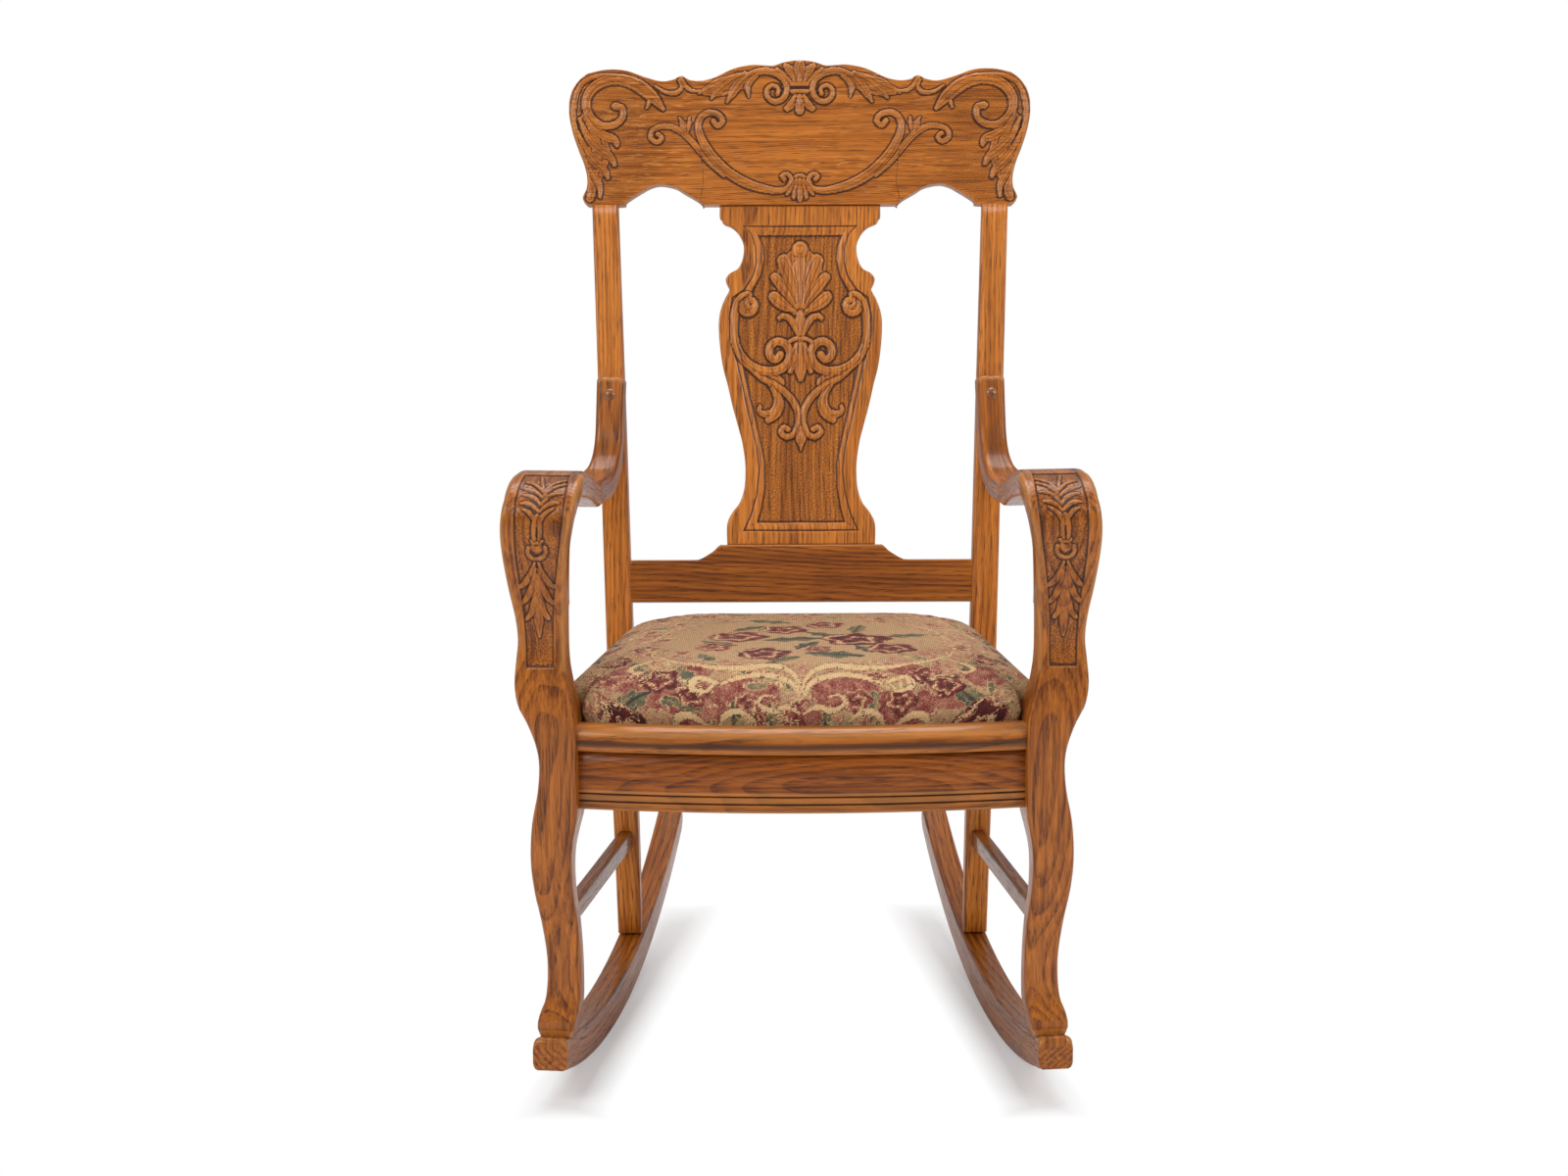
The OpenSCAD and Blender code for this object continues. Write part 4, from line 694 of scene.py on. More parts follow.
# A field of carved depth on a regular grid, read back between its points
def makeField(lowX, highX, lowY, highY, step, depthAt):
    xs, ys = np.arange(lowX, highX + step, step), np.arange(lowY, highY + step, step)
    gridX, gridY = np.meshgrid(xs, ys, indexing="ij")
    values = depthAt(np.stack([gridX.ravel(), gridY.ravel()], -1)).reshape(gridX.shape)

    def read(x, y):
        fx, fy = np.clip((x - lowX) / step, 0, len(xs) - 1.001), np.clip((y - lowY) / step, 0, len(ys) - 1.001)
        ix, iy = fx.astype(int), fy.astype(int)
        tx, ty = fx - ix, fy - iy
        low = values[ix, iy] * (1 - tx) + values[ix + 1, iy] * tx
        high = values[ix, iy + 1] * (1 - tx) + values[ix + 1, iy + 1] * tx
        return low * (1 - ty) + high * ty
    return read


def armCarving(spots):
    outline = np.concatenate([smoothCurve(armPanel["outer"]), smoothCurve(armPanel["inner"])[::-1]])
    inside = smoothStep(insideDistance(spots, outline), 0, armPanel["wall"])
    stipple = roughness(spots, 1.7, 3.1) + 0.6 * roughness(spots, 0.9, 7.7)
    strokes = {name: (top, np.array(widths) * armPanel["widen"], line)
               for name, (top, widths, line) in armStrokes.items()}
    ornament = armPanel["lift"] * carvedHeight(spots, strokes, armPanel["groove"], 0.0)
    floor = armPanel["depth"] + armPanel["stipple"] * stipple * (ornament < 0.1)
    return inside * (floor - ornament)


def makeArm(setup, material):
    front, back = armProfiles()
    along = lengthsAlong(front) + setup["crownAlong"]
    low, high = setup["carveFrom"], setup["carveTo"]
    steps = [along[0]]
    while steps[-1] < along[-1] - 0.5:
        step = setup["carveStep"] if low <= steps[-1] <= high else setup["plainStep"]
        steps.append(min(steps[-1] + step, along[-1]))
    steps = np.array(steps)
    front, back = (np.stack([np.interp(steps, along, line[:, k]) for k in (0, 1)], -1) for line in (front, back))
    (frontIn, frontOut), (backIn, backOut) = armSides(front), armSides(back)
    corners = np.stack([np.column_stack([x, line]) for x, line in (
        (frontIn, front), (frontOut, front), (backOut, back), (backIn, back))], 1)
    margin = setup["fieldMargin"]
    field = makeField(-margin, 80, low - margin, high + margin, setup["fieldStep"], armCarving)
    shift = np.stack([(frontIn + frontOut) / 2 - 30, 1.6 * np.clip(front[:, 0], -17, 8)], -1)

    def carve(i, u, width):
        if not low < steps[i] < high:
            return 0
        return field(frontIn[i] + u * width, np.full(len(u), steps[i]))
    edges = [setup[key] for key in ("legEdge", "armEdge", "armEdge", "endEdge")]
    edges = np.interp(steps, [600, 720, 1000, 1250], edges)
    points, faces, grain = barPoints(corners, edges, (setup["acrossCount"], 4, 8, 4), (0, 5), carve, shift)
    place = grain[:, 2] + along[0]
    recess = (grain[:, 1] - np.interp(place, steps, shift[:, 1])).clip(0)
    carved = (place > low) & (place < high) & (recess < 4.5)
    # Painted shade in the recessed panel, darker where it lies deeper below the arm's front
    darkening = np.where(carved, armPanel["darkening"] * smoothStep(recess, 1.2, 2.4), 0)
    points[:, 2] = np.maximum(points[:, 2], runnerTop(points[:, 1]) - runner["sunk"])
    placed = sidePoint(*points.T)
    faceY = (chair["postY"] - chair["middleY"] + (placed[:, 2] / mm - chair["bendZ"]) * leanTan) * mm
    upper = placed[:, 2] > chair["bendZ"] * mm
    placed[upper, 1] = np.minimum(placed[upper, 1], faceY[upper])
    makePair("Arm", "arm_and_leg", placed, faces, grain, ((0.004, 0, 0.31), (0.004, 0, 0.77)), material, darkening)


makeArm(arm, oakWood)
print("arms made")

# Back posts: places back and up of their two faces; the side values turn a place into its depth along the side
post = {"footX": 213.3, "bendX": 220.8, "topX": 239.3, "footWidth": 28.8, "width": 32.0, "edge": 3.0,
        "topZ": 954.4, "topCut": 4.5, "sideTurn": 0.1288, "sideShift": 31, "sideScale": 0.9917,
        "front": [(450.2, 0), (425, 325), (425, 420), (548.4, 954.4)],
        "back": [(480.6, 0), (463, 325), (463, 392.5), (470.4, 484.1), (518.5, 687.2), (567.9, 949.9)]}


def makePosts(setup, material):
    front, back, topZ, bendZ = np.array(setup["front"]), np.array(setup["back"]), setup["topZ"], chair["bendZ"]
    spans, corners = ((60, 410, 12), (410, 430, 5), (430, topZ, 24)), []
    for z in np.unique(np.concatenate([np.linspace(*span) for span in spans])):
        zBack = z - setup["topCut"] * smoothStep(z, 600, topZ)
        centre = np.interp(z, [0, bendZ, topZ], [setup["footX"], setup["bendX"], setup["topX"]])
        half = np.interp(z, [0, bendZ], [setup["footWidth"], setup["width"]]) / 2
        yFront, yBack = np.interp(z, front[:, 1], front[:, 0]), np.interp(zBack, back[:, 1], back[:, 0])
        corners.append(fourCorners(centre, half, (yFront, z), (yBack, zBack)))
    points, faces, grain = barPoints(corners, setup["edge"])
    sideY = (points[:, 1] - setup["sideTurn"] * points[:, 0] + setup["sideShift"]) / setup["sideScale"]
    lowest = np.where(points[:, 2] < 150, runnerTop(sideY) - runner["sunk"], 0)
    points[:, 2] = np.maximum(points[:, 2], lowest)
    placed = (points - (0, chair["middleY"], 0)) * mm
    makePair("Post", "back_post", placed, faces, grain, (0.13, 0.49), material)


makePosts(post, backWood)
print("back posts made")


def makeRunners(setup, material):
    front, back, nose, tail = (setup[key] for key in ("front", "back", "nose", "tail"))
    stations = [front + nose * (1 - math.cos(turn)) for turn in np.linspace(0, math.pi / 2, 8)]
    stations += [-6, 0, 4, 9, 14, 18] + list(np.linspace(30, back - tail, 66))
    stations += [back - tail * (1 - math.sin(turn)) for turn in np.linspace(0.2, math.pi / 2, 8)]
    corners = []
    for y in stations:
        low, high = runnerLow(y), runnerTop(y)
        if y < front + nose:
            high -= nose - math.sqrt(max(nose ** 2 - (front + nose - y) ** 2, 0.01))
        if y > back - tail:
            cut = tail - math.sqrt(max(tail ** 2 - (y - back + tail) ** 2, 0.01))
            high, low = high - cut, low + cut
        half = np.interp(y, [0, 17.8], [setup["blockWidth"] / 2, setup["width"] / 2])
        corners.append(fourCorners(setup["centreX"], half, (y, high), (y, low)))
    # The edges are rounder at the nose, where feet have knocked it
    nearNose = 1 - smoothStep(np.array(stations), front + 8, front + 60)
    edges = setup["edge"] + (setup["noseEdge"] - setup["edge"]) * nearNose
    points, faces, grain = barPoints(corners, edges, (3, 3, 3, 3), (1.5, 2))
    points[:, 1] = np.clip(points[:, 1], front, back)
    points[:, 2] = np.maximum(points[:, 2], runnerLow(points[:, 1]))
    makePair("Runner", "runner", sidePoint(*points.T), faces, grain, (0.91, 0.57), material)


makeRunners(runner, oakWood)
print("runners made")

# Side stretchers
stretcher = {"x": 24.64, "width": 16.5, "top": 193.0, "deep": 22.0, "from": 28.0, "to": 437.5, "edge": 3.0}


def makeStretchers(setup, material):
    x0, x1 = setup["x"], setup["x"] + setup["width"]
    z0, z1 = setup["top"] - setup["deep"], setup["top"]
    corners = [[(x0, y, z1), (x1, y, z1), (x1, y, z0), (x0, y, z0)]
               for y in np.linspace(setup["from"], setup["to"], 12)]
    points, faces, grain = barPoints(corners, setup["edge"])
    makePair("Stretcher", "stretcher", sidePoint(*points.T), faces, grain, (0.23, 0.67), material)


makeStretchers(stretcher, oakWood)
print("stretchers made")


# Shares along a line that set the grid's points close together beside an edge
def gridShares(count, size, bothEnds):
    edge = np.array([0, 0.35, 0.9, 1.7, 2.8]) / size
    start = edge if bothEnds else np.array([0.0])
    middle = np.linspace(start[-1], 1 - edge[-1], count)
    return np.concatenate([start[:-1], middle, 1 - edge[:-1][::-1]])


# Flat pieces of the back, from the right half of their outline as its bottom, side and top lines; depthAt gives
# the carved depth and the darkening at each spot, painted shade on the carved ground, and grainAxes and grainShift lay
# the piece into its board
def makePlate(name, node, outline, sizes, start, depthAt, grainAxes, grainShift, material):
    bottom, side, top = outline
    high = top[:, 1].max() - bottom[:, 1].min()
    across, up = gridShares(sizes["across"], max(side[:, 0]), False), gridShares(sizes["up"], high, True)
    low, high, right = resampled(bottom, across), resampled(top, across), resampled(side, up)
    left = np.stack([np.zeros(len(up)), low[0, 1] + (high[0, 1] - low[0, 1]) * up], -1)
    u, v = across[:, None, None], up[None, :, None]
    grid = ((1 - v) * low[:, None] + v * high[:, None] + (1 - u) * left[None] + u * right[None]
            - (1 - u) * (1 - v) * low[0] - u * (1 - v) * low[-1] - (1 - u) * v * high[0] - u * v * high[-1])
    nu, nv = len(across), len(up)
    columns, total = 2 * nu - 1, (2 * nu - 1) * nv
    flat = grid.reshape(-1, 2)
    rim = np.concatenate([low, right[1:], high[::-1][1:]])
    away = np.maximum(insideDistance(flat, np.concatenate([rim, (rim * (-1, 1))[::-1][1:-1]])), 0)
    radius = sizes["edge"]
    rounding = radius - np.sqrt(np.maximum(radius ** 2 - np.maximum(radius - away, 0) ** 2, 0))
    carved, darkening = depthAt(flat)
    deep = (carved * smoothStep(away, 0.3, 2.2) + rounding).reshape(nu, nv)
    darkening = darkening.reshape(nu, nv)
    full = np.concatenate([(grid * (-1, 1))[::-1][:-1], grid]).reshape(-1, 2)
    deep, darkening = (np.concatenate([values[::-1][:-1], values]).ravel() for values in (deep, darkening))
    points = [np.column_stack([full[:, 0], deep + sizes["front"], full[:, 1]])]
    faces = [(a, a + nv, a + nv + 1, a + 1) for i in range(columns - 1) for a in range(i * nv, i * nv + nv - 1)]
    # The sides and the back follow the front's rim
    loop = ([i * nv for i in range(columns)] + [(columns - 1) * nv + j for j in range(1, nv)]
            + [i * nv + nv - 1 for i in range(columns - 2, -1, -1)] + [j for j in range(nv - 2, 0, -1)])
    ring, count = full[loop], len(loop)
    tangent = np.roll(ring, -1, 0) - np.roll(ring, 1, 0)
    normal = np.stack([tangent[:, 1], -tangent[:, 0]], -1)
    normal /= np.maximum(np.linalg.norm(normal, axis=1, keepdims=True), 1e-9)
    previous, rear = loop, sizes["front"] + sizes["thick"]
    for inset, y in ((0, rear - 1.5), (0.45, rear - 0.45), (1.5, rear)):
        spots = ring - normal * inset
        points.append(np.column_stack([spots[:, 0], np.full(count, y), spots[:, 1]]))
        current = list(range(total, total + count))
        for k in range(count):
            following = (k + 1) % count
            faces.append((previous[k], current[k], current[following], previous[following]))
        previous, total = current, total + count
    back = [Vector((float(x), float(z))) for x, z in spots]
    spots, _, fills = delaunay_2d_cdt(back, [(k, (k + 1) % count) for k in range(count)], [], 1, 1e-5)[:3]
    points.append(np.array([(p[0], rear, p[1]) for p in spots]))
    faces += [tuple(total + k for k in fill) for fill in fills]
    points = np.concatenate(points)
    placed = backPoint(*(points + (0, 0, start)).T)
    darkening = np.concatenate([darkening, np.zeros(len(points) - len(darkening))])
    piece = makePiece(name, node, placed, faces, (points[:, grainAxes] + grainShift) * mm, material, darkening)
    print(name, "made:", len(piece.data.polygons), "faces")


# A half outline from its shares of half width and height
def halfOutline(setup):
    scale = (setup["halfWidth"], setup["height"])
    bottom, side, top = (smoothCurve(np.array(setup[key]) * scale, 6) for key in ("low", "side", "top"))
    return bottom, side, top[::-1]


# Spots of the left half laid over the right one
def folded(spots):
    return np.column_stack([np.abs(spots[:, 0]), spots[:, 1]])


# Crest rail: half outline as shares of its half width and height
crest = {
    "halfWidth": 284.0, "height": 180.0,
    "low": [
        (0, 0), (0.21, 0), (0.405, 0), (0.419, 0.002), (0.445, 0.036), (0.496, 0.083), (0.538, 0.123), (0.6, 0.143),
        (0.644, 0.129), (0.69, 0.089), (0.749, 0.028), (0.76, 0), (0.84, 0), (0.915, 0)],
    "side": [
        (0.915, 0), (0.929, 0.02), (0.94, 0.055), (0.923, 0.12), (0.921, 0.19), (0.93, 0.26), (0.945, 0.33),
        (0.965, 0.41), (0.985, 0.51), (0.998, 0.61), (1, 0.68), (0.998, 0.73), (0.985, 0.8), (0.957, 0.865),
        (0.92, 0.912)],
    "top": [
        (0.92, 0.912), (0.84, 0.939), (0.754, 0.933), (0.669, 0.886), (0.6, 0.858), (0.55, 0.868), (0.512, 0.894),
        (0.478, 0.867), (0.43, 0.86), (0.372, 0.881), (0.287, 0.943), (0.203, 0.97), (0.118, 0.964), (0.076, 0.984),
        (0.03, 0.998), (0, 1)],
    "sizes": {"across": 235, "up": 142, "edge": 3.2, "front": 0.0, "thick": 20.0}, "ground": 0.9, "stipple": 0.16,
    "lift": 1.35, "groove": 0.9,
    # darkening: painted shade on the plain ground round the ornament
    "flute": 0.6, "darkening": 0.1,
}
# Ornament on the crest's right half: (height, half widths, line), millimetres from its middle and lower edge
crestStrokes = {
    "frondBody": (1.2, (6, 13, 16, 12, 6), [(264, 108), (253, 88), (249, 66), (251, 44), (256, 20)]),
    "leafBody": (1.2, (4, 9, 10, 8, 3), [(54, 160), (70, 153), (86, 147), (102, 142), (117, 139)]),
    "cornerScroll": (2.6, (2.5, 7.5, 8.5, 7.5, 7, 6.5, 6, 5.5, 5, 4.5, 4, 4.5), [
        (167.7, 118.6), (180.7, 133.6), (199.2, 148.6), (220.1, 155.7), (241.3, 153.3), (256.3, 143), (263, 126.9),
        (258.3, 110.3), (245.3, 99.3), (229.9, 98.9), (218.5, 107.6), (218.5, 119.8), (227.2, 122.6)]),
    "cornerLeaf": (2.2, (3, 6, 4, 1.5), [(204.3, 152.5), (191, 140.7), (184.7, 132), (187.8, 120.2)]),
    "cornerRim": (2, (2, 3, 3.5, 3.5, 3, 2.5), [
        (222.8, 161.2), (248.4, 160.4), (268.1, 150.5), (276.7, 130.8), (278.3, 107.2), (272.8, 77.6), (263.4, 46.1),
        (257.1, 22.5)]),
    "frondA": (2.2, (2, 4, 5.5, 6, 3), [(263.4, 111.1), (253.1, 95.4), (239.8, 85.5), (227.6, 80.8), (224.8, 73.7)]),
    "frondB": (2.2, (2, 4, 5.5, 6, 3), [(271.2, 107.2), (261, 85.5), (246.4, 69.8), (233.5, 59.9), (227.6, 50.1)]),
    "frondC": (2.2, (2, 4, 5.5, 6, 3), [(272.8, 91.4), (264.2, 69.8), (252.4, 54), (240.5, 43), (235.8, 34.3)]),
    "frondD": (2, (2, 3.5, 5, 4.5, 2.5), [(269.7, 73.7), (262.2, 54), (253.1, 36.3), (246.4, 24.4), (245.3, 9.9)]),
    "frondE": (2.2, (2.5, 3.5, 5, 6, 5), [(264.9, 50.1), (261, 32.3), (256.3, 18.5), (257.9, 8.3)]),
    "flourishA": (1.8, (1.5, 2.5, 3, 2), [
        (177.6, 147.8), (165, 139.9), (152, 139.1), (145.3, 146.2), (148.5, 154.1)]),
    "flourishB": (1.8, (3, 3, 2.5, 1.5), [(146.9, 158.8), (140.6, 147.8), (131.9, 141.5), (120.9, 141.5)]),
    "middleScroll": (2.8, (3, 4.5, 4.5, 4.2, 4, 3.8, 3.6, 3.4, 3.2, 3, 3), [
        (64.3, 161.2), (45.8, 165.9), (30, 163.1), (18.6, 154.1), (15.9, 141.5), (21, 131.2), (30.4, 127.7),
        (38.7, 132.8), (40.3, 142.3), (33.6, 147.8), (26.5, 144.2), (26.9, 137.1)]),
    "middleLeafA": (2.2, (2, 4, 5, 3.5, 1.5), [(49.7, 163.5), (60.3, 155.7), (64.3, 145.4), (62.7, 134.4)]),
    "middleLeafB": (2.3, (2.5, 5, 6.5, 5, 2), [(56.4, 163.5), (69.8, 155.7), (79.2, 143.8), (88.7, 128.1)]),
    "middleLeafC": (2.2, (2.5, 5, 6.5, 5, 2), [(66.6, 163.5), (83.1, 155.7), (96.5, 145.4), (108.3, 132)]),
    "middleLeafD": (2, (2, 4.5, 6, 4, 2), [(81.2, 159.6), (95.7, 153.3), (109.1, 146.2), (123.3, 139.1)]),
    "shellTopA": (2.8, (3.5, 5, 6.5, 7.5, 6), [(0.1, 150.9), (0.1, 160.4), (0.1, 169), (0.1, 175.4)]),
    "shellTopB": (2.4, (2.5, 4, 5.5, 5.5, 3.5), [(5.2, 151.7), (8.4, 161.2), (13.1, 168.3), (17, 172.2)]),
    "shellTopC": (2.2, (2.5, 3.5, 4, 3), [(9.2, 150.1), (15.5, 156.4), (22.5, 162.7), (27.3, 167.5)]),
    "shellBandA": (2.4, (3, 3), [(10, 149.7), (0.1, 149.7)]),
    "shellBandB": (2.4, (3, 3), [(9.2, 140.3), (0.1, 140.3)]),
    "shellLowA": (2.6, (3, 4.5, 6, 5), [(0.1, 134.8), (0.1, 126.9), (0.1, 120.2), (0.1, 115.5)]),
    "shellLowB": (2.2, (2.5, 4, 5, 4), [(5.2, 134.8), (8.4, 127.7), (11.5, 122.6), (15.5, 119.4)]),
    "longScroll": (2.6, (3, 3.2, 3.5, 4.5, 5.5, 6, 6.2, 6.2, 6, 5.5, 4.8, 4.2, 3.8, 3.6, 3.6), [
        (19, 31.1), (21.8, 35.1), (15.9, 37.5), (10.7, 31.1), (14.3, 21.7), (25.7, 17), (45.8, 19.7), (67.4, 27.2),
        (88.7, 40.6), (106.8, 58.7), (119.3, 78.4), (124.9, 95.8), (120.9, 109.2), (109.9, 114.3), (98.5, 110.7),
        (95, 102.9), (101.2, 98.1), (106, 103.6)]),
    "branchScroll": (2.2, (2, 3.5, 4, 4, 3.8, 3.5, 3.2, 3.2), [
        (93, 35.1), (111.5, 53.2), (127.2, 72.1), (140.2, 86.3), (154.8, 95.8), (168.9, 97.3), (180.7, 92.6),
        (183.1, 83.2), (175.2, 77.6), (169.7, 83.2), (174.4, 87.9)]),
    "branchLeaf": (1.8, (4, 4.5, 1.5), [(140.6, 88.7), (143, 98.9), (147.7, 107.6)]),
    "branchLeafB": (1.6, (2.5, 3, 1.5), [(137.4, 93.4), (135.9, 102.1), (135.9, 108.4)]),
    "footShellA": (2.4, (2, 3.5, 4.5, 3.5), [(0.1, 31.1), (0.1, 20.1), (0.1, 11.4), (0.1, 5.9)]),
    "footShellB": (2.2, (2, 3, 3.5, 2.5), [(2.9, 29.6), (5.2, 20.1), (6.8, 13), (7.6, 8.3)]),
    "footShellC": (2, (2, 2.8, 3, 2), [(4.4, 30.4), (9.6, 22.5), (13.1, 16.2), (16.3, 12.2)]),
    "footShellTop": (2.2, (2.5, 3, 2.5), [(5.2, 34.3), (0.1, 35.9)]),
}


def crestDepth(spots):
    spots = folded(spots)
    x, z = spots.T
    ornament = crest["lift"] * carvedHeight(spots, crestStrokes, crest["groove"], crest["flute"])
    stipple = crest["stipple"] * roughness(spots, 1.6, 5.5)
    outer = np.maximum(smoothStep(x, 165, 190), smoothStep(z, 100, 125) * smoothStep(x, 40, 80))
    plain = ornament < 0.1
    # The second value is painted shade on the plain ground, toward the crest's outer parts
    return crest["ground"] + stipple * outer * plain - ornament, crest["darkening"] * plain * smoothStep(x, 130, 200)


makePlate("crestRail", "crest_rail", halfOutline(crest), crest["sizes"], chair["crestT"], crestDepth,
          (2, 1, 0), (40, 0, 700), crestWood)

# Splat: half outline as shares of its half width and height
splat = {
    "halfWidth": 100.3, "height": 418.7, "start": 129.8,
    "low": [(0, 0), (0.3, 0), (0.6, 0), (0.9, 0)],
    "side": [
        (0.9, 0), (0.9, 0.06), (0.84, 0.094), (0.752, 0.122), (0.7, 0.155), (0.68, 0.19), (0.68, 0.24), (0.715, 0.3),
        (0.77, 0.352), (0.835, 0.41), (0.89, 0.468), (0.95, 0.525), (0.985, 0.585), (1, 0.64), (0.99, 0.675),
        (0.964, 0.7), (0.922, 0.725), (0.87, 0.75), (0.895, 0.765), (0.912, 0.783), (0.86, 0.8), (0.77, 0.812),
        (0.715, 0.835), (0.69, 0.865), (0.7, 0.89), (0.75, 0.915), (0.83, 0.934), (0.93, 0.945), (0.962, 0.958),
        (0.984, 0.965), (0.984, 1)],
    "top": [(0.984, 1), (0.6, 1), (0.3, 1), (0, 1)],
    "sizes": {"across": 84, "up": 330, "edge": 2.6, "front": 6.0, "thick": 10.0}, "panelDepth": 3.6, "bandDepth": 1.8,
    "stipple": 0.26, "lift": 1.3,
    # darkening: painted shade on the plain ground inside the panel
    "bandRise": 0.9, "groove": 0.7, "flute": 0.6, "darkening": 0.13,
}
# The panel's moulded border, outer and inner line, from the middle of its top to the middle of its foot
splatPanel = {
    "outer": [
        (0, 394), (71.6, 394), (61.5, 383.5), (55.8, 367), (55, 347.9), (59.9, 330.3), (70.5, 314.6), (84.5, 305),
        (88, 280), (86.5, 255), (82.8, 240.8), (72.2, 193.8), (64, 155.6), (55.5, 120.4), (52.2, 91.1), (55.2, 61.7),
        (62.2, 36.8), (71.6, 16.2), (0, 16.2)],
    "inner": [
        (0, 382.5), (52.5, 382.5), (46.7, 368.4), (45.2, 351.7), (49.9, 331.7), (61, 311.8), (76, 300), (80, 270),
        (78, 245), (72.2, 223.2), (62.8, 179.1), (52.2, 135.1), (44.9, 99.9), (45.2, 69.1), (49.9, 43.5),
        (54.6, 26.5), (0, 26.5)],
}
splatStrokes = {
    "shellBody": (2, (8, 20, 28, 29, 22), [(0, 288), (0, 298), (0, 311), (0, 328), (0, 344)]),
    "shellBoss": (3.9, (10, 10), [(0, 362), (0, 364.5)]),
    "sideScroll": (3.2, (3.6, 3.6, 3.8, 4.2, 4.4, 4.6, 5, 5.4, 5.8, 6, 6.2, 6.2, 6, 5.8, 5.5, 5.2, 5), [
        (63.4, 293), (66.3, 296.5), (63.4, 301.8), (57.5, 299.5), (56.1, 293), (61, 287.1), (68.7, 288.3),
        (72.8, 295.9), (71.6, 304.2), (64, 307.7)]),
    "sideBody": (3, (4, 5, 5.2, 5, 5, 5.5, 6, 6, 6, 5.6, 5.2, 5, 4.8, 5), [
        (64, 307.7), (74.5, 301.8), (79.8, 289.2), (81.6, 270.1), (80.4, 251), (74.5, 234.9), (62.8, 221.7),
        (46.7, 213.8), (29.1, 214.3), (16.4, 223.2), (12.9, 236.4), (18.2, 246.6), (28.2, 250.2), (37, 244.3),
        (37.6, 232.5), (29.9, 227.8), (24.7, 233.7)]),
    "shellCrown": (3.1, (2.5, 4, 5.5, 6.5, 7), [(0, 293), (0, 311.2), (0, 331.7), (0, 346), (0, 356)]),
    "shellLobeA": (3.1, (2.5, 4.5, 7, 9, 9.6, 8.5), [
        (2.3, 293), (6.8, 311.2), (13, 330.3), (18, 343.5), (20.5, 349.9)]),
    "shellLobeB": (2.8, (2.5, 4.5, 6.5, 7.6, 7.6, 6), [
        (4.7, 291.8), (12.3, 305.3), (21.1, 318.5), (28, 326.5), (31, 329.5)]),
    "shellLobeC": (2.6, (2.5, 5, 7.2, 8, 7.2), [(7.6, 288.3), (16.4, 293), (25.2, 298.9), (29.9, 303), (32, 305.3)]),
    "budCentre": (2.8, (3, 6, 6.5, 3.5), [(0, 259), (0, 268.6), (0, 278.9), (0, 286.5)]),
    "budSide": (2.6, (3, 4, 4.2, 4, 3), [(2.3, 258.4), (6.5, 268.6), (12.9, 278.3), (21.1, 281.9), (25.8, 278.9)]),
    "collar": (2.8, (2.8, 3, 2.8), [(12.9, 250.2), (6.5, 253.1), (0, 253.7)]),
    "pendantMid": (2.6, (5, 6, 8, 7.5, 3), [(0, 247.2), (0, 234.9), (0, 221.7), (0, 209.9), (0, 203.2)]),
    "pendantSide": (2.4, (4, 5, 6, 5, 3), [(4.1, 246), (5.9, 234.9), (9.4, 223.2), (12.9, 212.9)]),
    "stem": (2.8, (2, 3.6, 4.2, 4.4, 4.4, 4.2, 4, 3.8, 3.6), [
        (64, 218.7), (48.7, 206.1), (30.5, 196.1), (14.4, 182.6), (4.7, 166.8), (2.9, 150.4), (8.2, 136.9),
        (17, 132.8), (24.1, 138), (21.1, 143.9), (15.3, 141.6)]),
    "stemLeaf": (2.4, (2, 3, 4.5, 6.5, 7.5, 4), [
        (46.4, 206.1), (34.6, 193.8), (28.2, 181.5), (27.6, 170.3), (32.9, 160), (39.9, 153.3)]),
    "stemCurl": (2.2, (5, 4.5, 3.2, 2.8), [(36.4, 160.9), (45.2, 160.9), (50.5, 164.5), (49.9, 169.7)]),
    "stemSmall": (2, (2.5, 3.5, 4, 2.5), [(38.7, 207.9), (29.9, 205), (24.1, 202), (21.7, 198.5)]),
    "dropLeaf": (2.8, (2, 4.5, 7, 3.5, 1), [(0, 144.5), (0, 136.6), (0, 129.2), (0, 121.9), (0, 116.3)]),
}


def splatDepth(spots):
    spots = folded(spots)
    lines = (np.array(splatPanel[key], float) for key in ("outer", "inner"))
    inOuter, inInner = (insideDistance(spots, np.concatenate([line, (line * (-1, 1))[::-1]])) for line in lines)
    ornament = splat["lift"] * carvedHeight(spots, splatStrokes, splat["groove"], splat["flute"])
    stipple = splat["stipple"] * roughness(spots, 1.5, 2.2)
    band = splat["bandDepth"] * smoothStep(inOuter, -0.2, 0.9)
    band = band - splat["bandRise"] * np.exp(-((inOuter - 4.5) / 2.6) ** 2) * (inOuter > 0.5) * (inInner < 0)
    floor = band + (splat["panelDepth"] - splat["bandDepth"]) * smoothStep(inInner, -0.4, 1.0)
    plain = ornament < 0.1
    carved = floor + stipple * (inInner > 1) * plain - ornament * smoothStep(inOuter, -3, 0.5)
    # The second value is painted shade on the plain ground inside the panel's border
    return carved, splat["darkening"] * plain * smoothStep(inInner, -0.5, 2)


makePlate("splatPanel", "splat", halfOutline(splat), splat["sizes"], splat["start"], splatDepth,
          (0, 1, 2), (60, 0, 300), backWood)

# Lower back rail with its raised middle
lowerRail = {"reach": 209.5, "height": 51.5, "start": 60.0,
             "top": [(209.5, 51.5), (150, 51.5), (125.4, 51.5), (120.4, 53.7), (113.3, 57.7), (104.5, 63.8),
                     (100.3, 69.8), (50, 69.8), (0, 69.8)],
             "sizes": {"across": 40, "up": 10, "edge": 2.5, "front": 2.0, "thick": 18.0}}


def railOutline(setup):
    reach, height = setup["reach"], setup["height"]
    return [np.array(line, float) for line in ([(0, 0), (reach, 0)], [(reach, 0), (reach, height)], setup["top"][::-1])]


